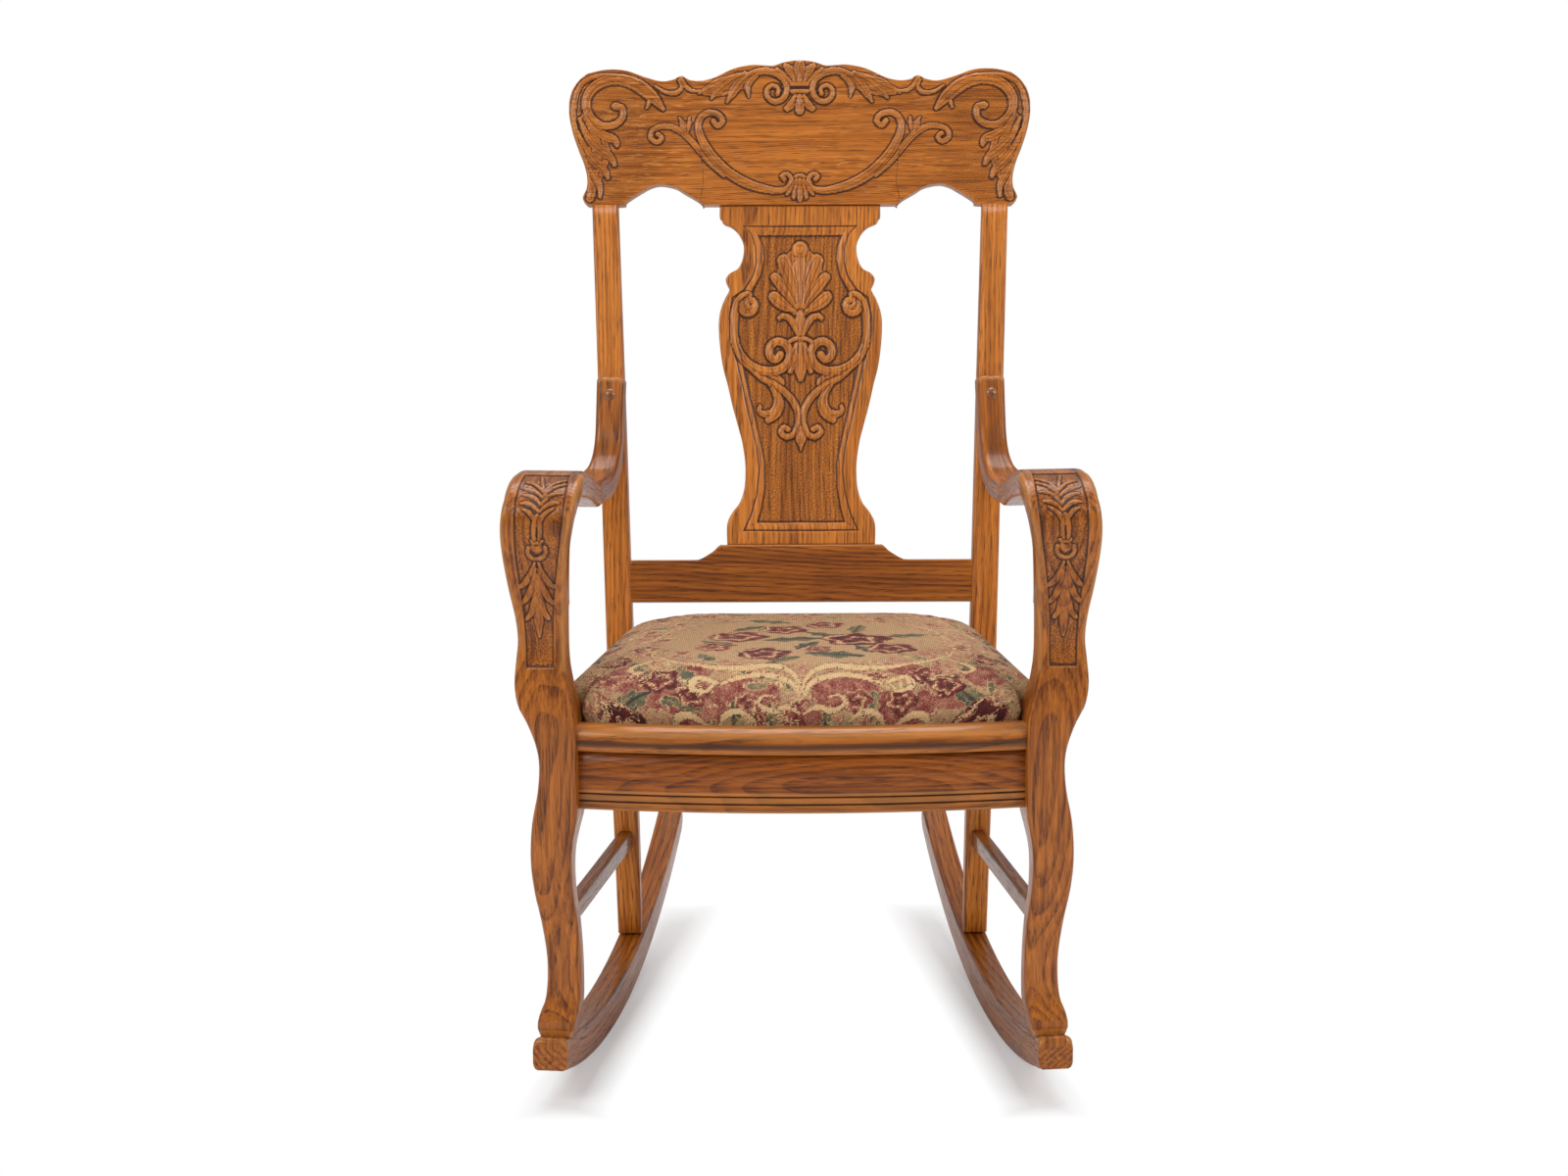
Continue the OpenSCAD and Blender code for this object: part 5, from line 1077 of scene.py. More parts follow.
makePlate("lowerBackRail", "lower_back_rail", railOutline(lowerRail), lowerRail["sizes"], lowerRail["start"],
          lambda spots: np.zeros((2, len(spots))), (2, 1, 0), (40, 15, 1300), oakWood)


# Mouldings that follow a path: the seat caps and the apron, each a profile swept by one Geometry Nodes tree
def mouldingTree():
    tree, start, end = newGroup("moulding", [
        ("Profile", "Geometry", None), ("Start", "Vector", None),
        ("Middle", "Vector", None), ("End", "Vector", None),
        ("Steps", "Int", 48), ("Finish", "Material", None),
    ], [("Moulding", "Geometry")], "GeometryNodeTree")
    given = start.outputs
    profile = addNode(tree, "GeometryNodeMeshToCurve", {"Mesh": given["Profile"]}).outputs[0]
    path = addNode(tree, "GeometryNodeCurveQuadraticBezier", {
        "Resolution": given["Steps"], **{label: given[label] for label in ("Start", "Middle", "End")}}).outputs[0]
    upright = addNode(tree, "GeometryNodeSetCurveNormal", {"Curve": path}, mode="Z_UP").outputs[0]
    swept = addNode(tree, "GeometryNodeCurveToMesh", {
        "Curve": upright, "Profile Curve": profile, "Fill Caps": True}).outputs[0]
    merged = addNode(tree, "GeometryNodeMergeByDistance", {"Geometry": swept, "Distance": 0.00001}).outputs[0]
    real = addNode(tree, "GeometryNodeRealizeInstances", {"Geometry": merged}).outputs[0]
    finish = addNode(tree, "GeometryNodeSetMaterial", {"Geometry": real, "Material": given["Finish"]}).outputs[0]
    tree.links.new(finish, end.inputs[0])
    return tree


moulding = mouldingTree()


# Sweeps a closed profile, given across and up in millimetres, from the path's start by its middle to its end.
# The darkening is its strength, and the shares of the height between which it fades from full to nothing, from the
# bottom up: painted shade on the cap's underside, the apron darker towards the bottom
def sweepMoulding(name, node, profile, path, steps, material, grainOffset, endRound=0, darkening=(0, 0, 1)):
    outline = bpy.data.meshes.new(name + "Profile")
    count = len(profile)
    outline.from_pydata([(-x * mm, -z * mm, 0) for x, z in profile], [(k, (k + 1) % count) for k in range(count)], [])
    holder = addObject(name + "Profile", outline)
    modifier = holder.modifiers.new("moulding", "NODES")
    modifier.node_group = moulding
    values = {"Start": path[0], "Middle": path[1], "End": path[2], "Steps": steps, "Finish": material}
    for item in moulding.interface.items_tree:
        if item.in_out == "INPUT" and item.name in values:
            value = values[item.name]
            single = isinstance(value, (int, bpy.types.Material))
            modifier[item.identifier] = value if single else tuple(float(c) for c in value)
    mesh = evaluatedMesh(holder)
    bpy.data.objects.remove(holder)
    points = meshPoints(mesh)
    faces = [tuple(f.vertices) for f in mesh.polygons]
    start, line = np.array(path[0]), np.array(path[2]) - np.array(path[0])
    length = np.linalg.norm(line)
    along = (points - start) @ (line / length)
    if endRound:
        pull = np.clip(1 - np.minimum(along, length - along) / (endRound * mm), 0, 1)
        drop = endRound * mm * (1 - np.sqrt(np.maximum(1 - pull ** 2, 0)))
        low = points[:, 2].min()
        share = (points[:, 2] - low) / max(points[:, 2].max() - low, 1e-9)
        points[:, 2] -= drop * share
    y, z = points[:, 1], points[:, 2]
    grain = np.stack([z - z.mean(), (y - y.mean()) * 0.3 + 0.02, along + grainOffset], -1)
    # Darker towards the bottom of the profile: painted shade on the cap, a darker lower part on the apron
    strength, solid, clear = darkening
    darkened = strength * (1 - smoothStep((z - z.min()) / np.ptp(z), solid, clear))
    makePiece(name, node, points, faces, grain, material, darkened)


seatTrim = {
    "bow": 25.0, "capWidth": 24.0, "capHeight": 26.0, "ledge": 392.5, "capLip": 7.8, "railWidth": 26.0,
    "apronHeight": 67.5, "beadDepth": 2.0, "beadShares": (0.13, 0.25), "fieldShares": (1, 0.62, 0.345),
    "reach": 243.2, "sideX": 50.8, "sideFrom": 41.0, "sideTo": 421.5, "sideRound": 16, "frontSteps": 230,
    # capPaintedShade: painted shade on the lower part of the cap's profile
    "sideSteps": 70, "capPaintedShade": (0.56, 0.3, 0.8), "apronDarkerBelow": (0.34, 0.3, 0.34),
}
# Section of a cap as shares of its width from the back and of its height
capSection = [
    (0, 0), (0.665, 0), (0.675, -0.06), (0.7, -0.085), (0.84, -0.09), (0.92, -0.06), (0.97, 0.02), (0.995, 0.14),
    (1, 0.28), (0.995, 0.42), (0.975, 0.54), (0.935, 0.65), (0.87, 0.75), (0.78, 0.83), (0.67, 0.9), (0.54, 0.955),
    (0.4, 0.99), (0.24, 1), (0.08, 1), (0.02, 0.98), (0, 0.94),
]


def bowPoints(radiusInset, reach, z):
    radius = (chair["halfOpening"] ** 2 + seatTrim["bow"] ** 2) / (2 * seatTrim["bow"]) - radiusInset
    centre = -seatTrim["bow"] + radius + radiusInset
    edgeY = centre - math.sqrt(radius ** 2 - reach ** 2)
    frontY = centre - radius
    middleY = 2 * frontY - edgeY
    place = lambda x, y: (x * mm, (y - chair["middleY"]) * mm, z * mm)
    return place(-reach, edgeY), place(0, middleY), place(reach, edgeY)


def makeSeatTrim(setup, material, apronMaterial):
    width, high, reach, ledge = (setup[key] for key in ("capWidth", "capHeight", "reach", "ledge"))
    cap = [(-(s * width - width), h * high) for s, h in capSection]
    sweepMoulding("frontSeatCap", "front_seat_cap", cap, bowPoints(0, reach, ledge), setup["frontSteps"], material,
                  0.4, 0, setup["capPaintedShade"])
    rail, apron, bead = setup["railWidth"], setup["apronHeight"], setup["beadDepth"]
    face = [(0, share * apron) for share in setup["fieldShares"]]
    for share in setup["beadShares"][::-1]:
        z = share * apron
        face += [(0, z + 2.6), (0.3, z + 2.1), (bead, z + 1.6), (bead, z + 0.6), (0.3, z + 0.1), (0, z - 0.4)]
    face += [(0, 3.4), (0.4, 1.6), (1.3, 0.5), (3.0, 0), (rail - 2, 0), (rail, 2), (rail, apron)]
    # The apron is darker towards the bottom
    sweepMoulding("frontApron", "front_apron", face, bowPoints(setup["capLip"], reach, ledge - apron),
                  setup["frontSteps"], apronMaterial, 1.7, 0, setup["apronDarkerBelow"])
    ends = [sidePoint(setup["sideX"], y, ledge) for y in (setup["sideFrom"], setup["sideTo"])]
    for side, place, profile, grainOffset in (("right", lambda p: p, cap, 1.2),
                                              ("left", mirrored, [(-x, z) for x, z in cap][::-1], 0.9 - 0.3)):
        first, last = (place(end) for end in ends)
        sweepMoulding(side + "SeatCap", side + "_seat_cap", profile, (first, (first + last) / 2, last),
                      setup["sideSteps"], material, grainOffset, setup["sideRound"])


makeSeatTrim(seatTrim, oakWood, shadedApronWood)
print("seat caps and apron made")


# Frame nodes that keep their own shape: hidden rails, blocks, dowels, screws, webbing
def paint(nodes, material):
    for name in nodes:
        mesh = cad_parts[name].data
        mesh.materials.clear()
        mesh.materials.append(material)


# Oak of a frame node, its grain turned to run along the node
def frameOak(name, turn, changes=()):
    return oakMaterial(name, {**oakLook, "turn": tuple(math.radians(angle) for angle in turn), **dict(changes)}, False)


innerLook = {"Light": (0.56, 0.38, 0.20, 1), "Dark": (0.34, 0.20, 0.09, 1), "rough": 0.7, "coat": 0.0,
             "Pore Strength": 0.3}


def metalMaterial(name, colour, rough):
    material, tree, shader = newMaterial(name)
    speck = noiseAt(tree, objectPlace(tree), 900.0, 3.0)
    dull = tuple(0.6 * c for c in colour[:3]) + (1,)
    setInputs(tree, shader, {
        "Base Color": mixColour(tree, mapRange(tree, speck, 0.4, 0.7), colour, dull), "Metallic": 1.0,
        "Roughness": mapRange(tree, speck, 0.3, 0.7, rough, rough + 0.25)})
    return material


# Plain weave in two directions across a flat cloth
def weaveGroup():
    tree, start, end = newGroup("plainWeave", [
        ("Vector", "Vector", None), ("Thread Size", "Float", 0.0012),
        ("Color", "Color", (0.4, 0.3, 0.2, 1)), ("Shade", "Float", 0.55),
    ], [("Color", "Color"), ("Height", "Float")])
    given = start.outputs
    place = splitVector(tree, given["Vector"])
    height = multiply(tree, *(threads(tree, place[axis], given["Thread Size"]) for axis in (0, 1)))
    fuzz = mapRange(tree, noiseAt(tree, given["Vector"], 220.0, 4.0), 0.3, 0.7, 0.75, 1.15)
    shade = multiply(tree, mapRange(tree, height, 0.0, 1.0, given["Shade"], 1.0), fuzz)
    setInputs(tree, end, {"Color": shaded(tree, given["Color"], shade), "Height": height})
    return tree


plainWeave = weaveGroup()


def clothMaterial(name, colour, thread, shade=0.55):
    material, tree, shader = newMaterial(name)
    weave = addNode(tree, "ShaderNodeGroup", {
        "Vector": objectPlace(tree), "Thread Size": thread, "Color": colour, "Shade": shade},
        node_tree=plainWeave).outputs
    setInputs(tree, shader, {"Base Color": weave["Color"], "Roughness": 0.9,
                             "Normal": bumpNormal(tree, 0.6, 0.0005, weave["Height"])})
    return material


paint(["left_seat_rail", "right_seat_rail"], frameOak("railOak", (90, 0, 0)))
paint(["rear_seat_rail"], frameOak("rearRailOak", (0, 90, 0)))
paint(["front_left_block", "front_right_block", "rear_left_block", "rear_right_block", "slip_frame_front",
       "slip_frame_rear", "slip_frame_left", "slip_frame_right", "slip_frame_dowels", "crest_dowels",
       "lower_rail_dowels", "seat_rail_dowels", "stretcher_dowels"], frameOak("unstainedAsh", (0, 90, 0), innerLook))

# Domed buttons over the arm screws, turned shapes that lean with the back
plug = {"radius": 8.2, "rise": 5.4, "skirt": 1.0, "steps": 28}


def makePlugs(setup, material):
    outward, upward = np.array([0, -leanCos, leanSin]), np.array([0, leanSin, leanCos])
    radius, rise, skirt = setup["radius"], setup["rise"], setup["skirt"]
    profile = [(radius * math.sin(turn), rise * math.cos(turn)) for turn in np.linspace(0.04, math.pi / 2, 10)]
    profile += [(radius + 0.3, -0.1), (radius + 0.2, -skirt), (0.5, -skirt)]
    for side in ("right", "left"):
        spots = meshPoints(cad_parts[side + "_arm_plug"].data)
        middle = (spots.min(0) + spots.max(0)) / 2
        base = middle + outward * ((spots @ outward).max() - middle @ outward - rise * mm)
        points, grain = [], []
        for away, high in profile:
            for turn in np.linspace(0, 2 * math.pi, setup["steps"], endpoint=False):
                across = np.array([1, 0, 0]) * math.cos(turn) + upward * math.sin(turn)
                points.append(base + (across * away + outward * high) * mm)
                grain.append(np.array([away * math.cos(turn), away * math.sin(turn), high]) * mm)
        points += [base + outward * rise * mm, base - outward * skirt * mm]
        grain += [np.zeros(3), np.zeros(3)]
        makePiece(side + "ArmPlug", side + "_arm_plug", points, ringFaces(len(profile), setup["steps"]), grain,
                  material)


makePlugs(plug, darkPlug)
screwSteel = metalMaterial("screwSteel", (0.32, 0.31, 0.30, 1), 0.35)
paint(["arm_screws", "runner_screws", "block_screws", "seat_screws"], screwSteel)
paint(["cover_tacks", "webbing_tacks"], metalMaterial("tackSteel", (0.22, 0.22, 0.23, 1), 0.3))
paint(["webbing_lengthways", "webbing_crossways"], clothMaterial("juteWebbing", (0.46, 0.33, 0.18, 1), 0.0018))
paint(["burlap"], clothMaterial("burlap", (0.38, 0.27, 0.14, 1), 0.0021))
paint(["seat_padding"], clothMaterial("cottonPadding", (0.72, 0.68, 0.60, 1), 0.004, 0.85))
paint(["dust_cover"], clothMaterial("blackCambric", (0.035, 0.033, 0.032, 1), 0.0008))
print("frame nodes painted")


# Slip seat cover: a crowned cushion blown up by a cloth simulation, with a woven floral pattern on it
cushion = {
    "edgeHeight": 418.5, "flapHeight": 393.2, "flapShare": 0.9, "underRise": 3.0, "crown": 60.0,
    "startInset": 0.985, "startCrown": 0.9, "halfSpan": 241.0, "voxel": 0.0045, "pressure": 4.0, "frames": 20,
    "travelLimit": 24.0, "least": 0.999, "most": 1.035, "fill": 0.7, "centreY": 233.75, "rearY": 424.3,
    "clear": 0.7, "legDepth": 43.7, "rimX": 26.1, "rearRimX": 23.6, "bowCentre": 1149.1, "bowRadius": 1149.4,
    "lowFrom": 0.93, "lowReach": 0.988,
}
# Ring shares of the outline, and their heights as shares of the crown
crownRings = [
    (0.99, -0.42), (0.988, 0), (1, 0.2), (0.99, 0.4), (0.96, 0.58), (0.9, 0.73), (0.8, 0.86), (0.66, 0.94),
    (0.46, 0.985), (0.22, 1),
]


def cushionOutline(setup):
    corner = sidePoint(-setup["clear"], 24.5, 0)[0] / mm
    across = corner * np.arange(6) / 5
    half = [(x, setup["bowCentre"] - math.sqrt(setup["bowRadius"] ** 2 - x * x)) for x in across]
    for x, y in ((-setup["clear"], setup["legDepth"]), (setup["rimX"], setup["legDepth"]), (setup["rimX"], 149.0),
                 (setup["rimX"], 255.5), (setup["rimX"], 369.5), (setup["rearRimX"], 403.5)):
        place = sidePoint(x, y, 0) / mm
        half.append((place[0], place[1] + chair["middleY"]))
    half += [(setup["halfSpan"] * share, setup["rearY"]) for share in (0.72, 0.5, 0.25, 0)]
    left = [(-x, y) for x, y in half[::-1][1:-1]]
    return np.array(half + left)


# How far out each plan point lies, as a share of the outline in its direction
def outlineShare(plan, outline, centreY):
    middle = np.array([0, centreY])
    ring = outline - middle
    turn = np.arctan2(ring[:, 1], ring[:, 0])
    order = np.argsort(turn)
    dense = []
    for a, b in zip(order, np.roll(order, -1)):
        for t in np.arange(12) / 12:
            dense.append(ring[a] + (ring[b] - ring[a]) * t)
    dense = np.array(dense)
    denseTurn = np.arctan2(dense[:, 1], dense[:, 0])
    keep = np.argsort(denseTurn)
    reach = np.linalg.norm(dense, axis=1)
    offset = plan - middle
    limit = np.interp(np.arctan2(offset[:, 1], offset[:, 0]), denseTurn[keep], reach[keep], period=2 * math.pi)
    return np.linalg.norm(offset, axis=1) / limit


def startCushion(setup, outline):
    middle = np.array([0, setup["centreY"]])
    count, rings, points = len(outline), len(crownRings), []
    for share, high in crownRings:
        z = setup["edgeHeight"] + high * setup["crown"] * (setup["startCrown"] if high > 0 else 1)
        for x, y in middle + (outline - middle) * share * setup["startInset"]:
            points.append((x * mm, (y - chair["middleY"]) * mm, z * mm))
    faces = bandFaces(rings, count)
    for end, z in ((0, points[0][2]), (rings - 1, (setup["edgeHeight"] + setup["crown"] * setup["startCrown"]) * mm)):
        tip = len(points)
        points.append((0, (setup["centreY"] - chair["middleY"]) * mm, z))
        for k in range(count):
            edge = (end * count + k, end * count + (k + 1) % count)
            faces.append((edge[1], edge[0], tip) if end == 0 else (edge[0], edge[1], tip))
    mesh = bpy.data.meshes.new("coverStart")
    mesh.from_pydata(points, [], faces)
    return mesh


def applied(holder):
    mesh = evaluatedMesh(holder)
    holder.modifiers.clear()
    holder.data = mesh
    return mesh


# Holds each point above the edge between two bounds of the crown's shape, so the cover stays over its padding
def fitCrown(points, outline, setup):
    middle, edge = np.array([0, setup["centreY"]]), setup["edgeHeight"] * mm
    plan = points[:, :2] / mm + np.array([0, chair["middleY"]])
    share = outlineShare(plan, outline, setup["centreY"])
    high = (points[:, 2] - edge) / (setup["crown"] * mm)
    profile = smoothCurve([ring for ring in crownRings if ring[1] >= 0] + [(0, 1)], 8)
    wide, tall = setup["halfSpan"], setup["crown"]
    turn = np.arctan2(profile[:, 1] * tall, profile[:, 0] * wide)
    reach = np.hypot(profile[:, 1] * tall, profile[:, 0] * wide)
    pointTurn, pointReach = np.arctan2(high * tall, share * wide), np.hypot(high * tall, share * wide)
    target = np.interp(pointTurn, turn, reach)
    held = np.clip(pointReach, target * setup["least"], target * setup["most"])
    rise = np.where(high > 0, held / np.maximum(pointReach, 1e-6), 1)
    factor = np.where((high <= 0) & (share > setup["lowFrom"]), setup["lowReach"] / share,
                      np.minimum(rise, 1 / np.maximum(share, 1e-6)))
    points[:, :2] = (middle + (plan - middle) * factor[:, None] - np.array([0, chair["middleY"]])) * mm
    points[:, 2] = np.maximum(edge + (points[:, 2] - edge) * rise, setup["flapHeight"] * mm)
    # The cloth turns under as a flap; inside the flap the dust cover shows, so the underside lies above it
    under = (points[:, 2] < (setup["flapHeight"] + 2.5) * mm) & (share < setup["flapShare"])
    points[under, 2] = (setup["flapHeight"] + setup["underRise"]) * mm


def makeCushion(setup):
    outline = cushionOutline(setup)
    holder = addObject("cushionCover", startCushion(setup, outline))
    remesh = holder.modifiers.new("remesh", "REMESH")
    remesh.mode, remesh.voxel_size = "VOXEL", setup["voxel"]
    before = meshPoints(applied(holder))
    held = holder.vertex_groups.new(name="held")
    low = before[:, 2] < (setup["edgeHeight"] - 3) * mm
    held.add([int(k) for k in np.nonzero(low)[0]], 1.0, "REPLACE")
    cloth = holder.modifiers.new("cloth", "CLOTH")
    cloth.settings.use_pressure = True
    cloth.settings.uniform_pressure_force = setup["pressure"]
    cloth.settings.vertex_group_mass = "held"
    cloth.settings.effector_weights.gravity = 0
    cloth.point_cache.frame_start, cloth.point_cache.frame_end = 1, setup["frames"]
    for frameNumber in range(1, setup["frames"] + 1):
        scene.frame_set(frameNumber)
    moved = meshPoints(applied(holder)) - before
    scene.frame_set(1)
    far = np.linalg.norm(moved, axis=1, keepdims=True)
    after = before + moved * np.minimum(1, setup["travelLimit"] * mm / np.maximum(far, 1e-9))
    print("cushion swelled", round(float(far.max() / mm), 1), "mm, top at", round(float(after[:, 2].max() / mm), 1))
    fitCrown(after, outline, setup)
    holder.data.vertices.foreach_set("co", after.ravel().astype(np.float32))
    smoother = holder.modifiers.new("subdivision", "SUBSURF")
    smoother.levels = smoother.render_levels = 1
    applied(holder).shade_smooth()
    return holder, outline


# The woven pattern. Places are across and back from the front edge in millimetres, laid over the crown;
# blossoms: across, back, size, tone (-1 burgundy to 0 tan); leaves: across, back, length, width, turn, tone
tapestry = {
    "seed": 11, "sideFall": 0.9, "crownEdge": 455.0, "ribWidth": 0.0021, "threadWidth": 0.0009, "sprigs": 130,
    "ovalWide": 158, "ovalBack": 176, "ovalDeep": 122, "roseTone": -0.46, "roseEdge": 0.45,
    "goldColour": (0.66, 0.44, 0.22, 1), "inkColour": (0.06, 0.035, 0.022, 1), "outline": 0.52,
}
# Thread colours along the tone, from burgundy by rose and tan to olive and slate
tapestryStops = [
    (0.0, (0.085, 0.012, 0.016)), (0.14, (0.15, 0.022, 0.024)), (0.27, (0.33, 0.095, 0.068)),
    (0.38, (0.48, 0.215, 0.135)), (0.47, (0.57, 0.34, 0.175)), (0.57, (0.47, 0.305, 0.145)),
    (0.68, (0.21, 0.175, 0.085)), (0.82, (0.115, 0.115, 0.075)), (0.95, (0.056, 0.062, 0.052)),
]
blossoms = [
    (-42, 98, 29, -0.8), (-72, 190, 33, -0.65), (-20, 232, 27, -0.7), (62, 172, 38, -0.85), (100, 122, 27, -0.75),
    (-98, 130, 21, -0.6), (26, 262, 23, -0.65), (16, 118, 17, -0.55), (-216, -14, 27, -1), (214, -12, 29, -1),
    (-152, 36, 21, -0.85), (134, 40, 17, -0.85), (158, 26, 19, -0.9), (-120, 8, 18, -0.7), (112, 0, 18, -0.7),
    (-206, 92, 20, -0.7), (206, 98, 21, -0.7), (-60, -8, 16, -0.55), (62, -4, 17, -0.58), (-224, 190, 21, -0.75),
    (226, 196, 21, -0.75), (-212, 300, 22, -0.75), (212, 296, 22, -0.75), (-90, 372, 21, -0.7), (96, 368, 21, -0.7),
    (0, 396, 19, -0.7), (-160, 352, 18, -0.6), (166, 352, 18, -0.6), (-176, 130, 17, -0.5), (178, 136, 17, -0.5),
]
leaves = [
    (-8, 172, 74, 24, 10, 0.75), (36, 92, 70, 26, -12, 0.85), (6, 136, 48, 20, 60, 0.95),
    (-92, 150, 54, 20, 145, 0.55), (118, 196, 60, 21, 25, 0.6), (-36, 284, 56, 19, 160, 0.6),
    (64, 236, 54, 19, 80, 0.5), (-190, 8, 58, 20, 20, 0.7), (-134, -2, 46, 15, -30, 0.55),
    (186, 12, 60, 20, 150, 0.75), (80, -6, 40, 14, 100, 0.6), (-76, -14, 36, 13, 60, 0.6),
    (-178, 66, 46, 15, 120, 0.55), (184, 70, 46, 15, 60, 0.55), (-226, 140, 52, 16, 95, 0.6),
    (228, 146, 52, 16, 85, 0.6), (-214, 244, 52, 16, 100, 0.6), (216, 246, 52, 16, 80, 0.6),
    (-132, 380, 52, 16, 10, 0.6), (134, 380, 52, 16, -10, 0.6), (-40, 388, 46, 14, 20, 0.6),
    (46, 386, 46, 14, -20, 0.6), (-36, -22, 30, 12, 90, 0.55), (30, -24, 28, 11, 80, 0.6), (-20, 70, 48, 16, 35, 0.6),
    (70, 118, 40, 15, 120, 0.8), (-60, 240, 50, 17, 40, 0.7), (24, 200, 50, 18, 140, 0.8),
]
# Rose ground under the scrolls at the front, as soft patches: across, back, half width, half depth
rosePatches = [
    (-62, 4, 44, 26), (-118, -10, 38, 20), (48, 6, 42, 26), (112, -6, 44, 22), (0, -26, 30, 10), (-160, 16, 38, 22),
    (162, 12, 38, 20), (-196, 44, 28, 26), (198, 50, 28, 26), (-120, 44, 26, 14), (118, 46, 26, 14),
]
# Pale gold scrolls, drawn on the right and mirrored: half widths along the line, then the line
scrolls = [
    ((1, 3.5, 5.5, 4.5, 2), [(0, -4), (8, 16), (24, 30), (46, 36), (70, 30), (86, 22)]),
    ((1, 4, 5, 3.5, 1), [(0, 8), (4, 24), (14, 44), (34, 54), (60, 50), (92, 52), (124, 62)]),
    ((2, 4, 4, 3, 1.5), [(92, 24), (112, 34), (118, 20), (104, 12), (96, 20)]),
    ((2, 3, 2, 1.2, 1), [(124, 60), (150, 78), (166, 110), (172, 140)]),
    ((1, 2, 1.2, 2, 1), [(168, 176), (160, 206), (146, 246), (118, 274)]),
    ((1, 2, 1), [(92, 294), (60, 304), (24, 309)]),
    ((1, 3, 3, 2, 1), [(150, 78), (170, 74), (186, 60), (178, 48), (166, 56)]),
    ((1, 3, 3.2, 2, 1), [(2, -22), (18, -14), (34, -18), (48, -10), (42, 2), (30, 0)]),
    ((1, 3, 3.4, 2, 1), [(58, -26), (74, -16), (92, -20), (104, -30)]),
    ((1, 3, 3.4, 2, 1), [(112, -26), (132, -14), (150, -16), (168, -28)]),
    ((1, 2.6, 2.6, 1.6), [(166, 150), (188, 160), (204, 150), (198, 138), (188, 142)]),
    ((1, 2.6, 2.6, 1.6), [(150, 240), (172, 256), (196, 250), (192, 236), (180, 240)]),
]


# How far each spot lies from a stroke's middle, as a share of its half width there
def lineNearness(spots, widths, line, reach=26):
    path, half = strokePath(widths, line)
    best = np.full(len(spots), 99.0)
    for a, b, ha, hb in zip(path[:-1], path[1:], half[:-1], half[1:]):
        near = np.nonzero((np.abs(spots - (a + b) / 2) < reach).all(1))[0]
        away, t = segmentDistance(spots[near], a, b)
        best[near] = np.minimum(best[near], away / (ha + (hb - ha) * t))
    return best


# Places seen from a motif's middle, in its own direction
def turned(x, y, cx, cy, turn):
    dx, dy = x - cx, y - cy
    return dx * math.cos(turn) + dy * math.sin(turn), dy * math.cos(turn) - dx * math.sin(turn)


# 1 on the oval round the bouquet, less inside it
def ovalShare(x, y):
    return np.hypot(x / tapestry["ovalWide"], (y - tapestry["ovalBack"]) / tapestry["ovalDeep"])


def bell(value, width):
    return np.exp(-(value / width) ** 2)


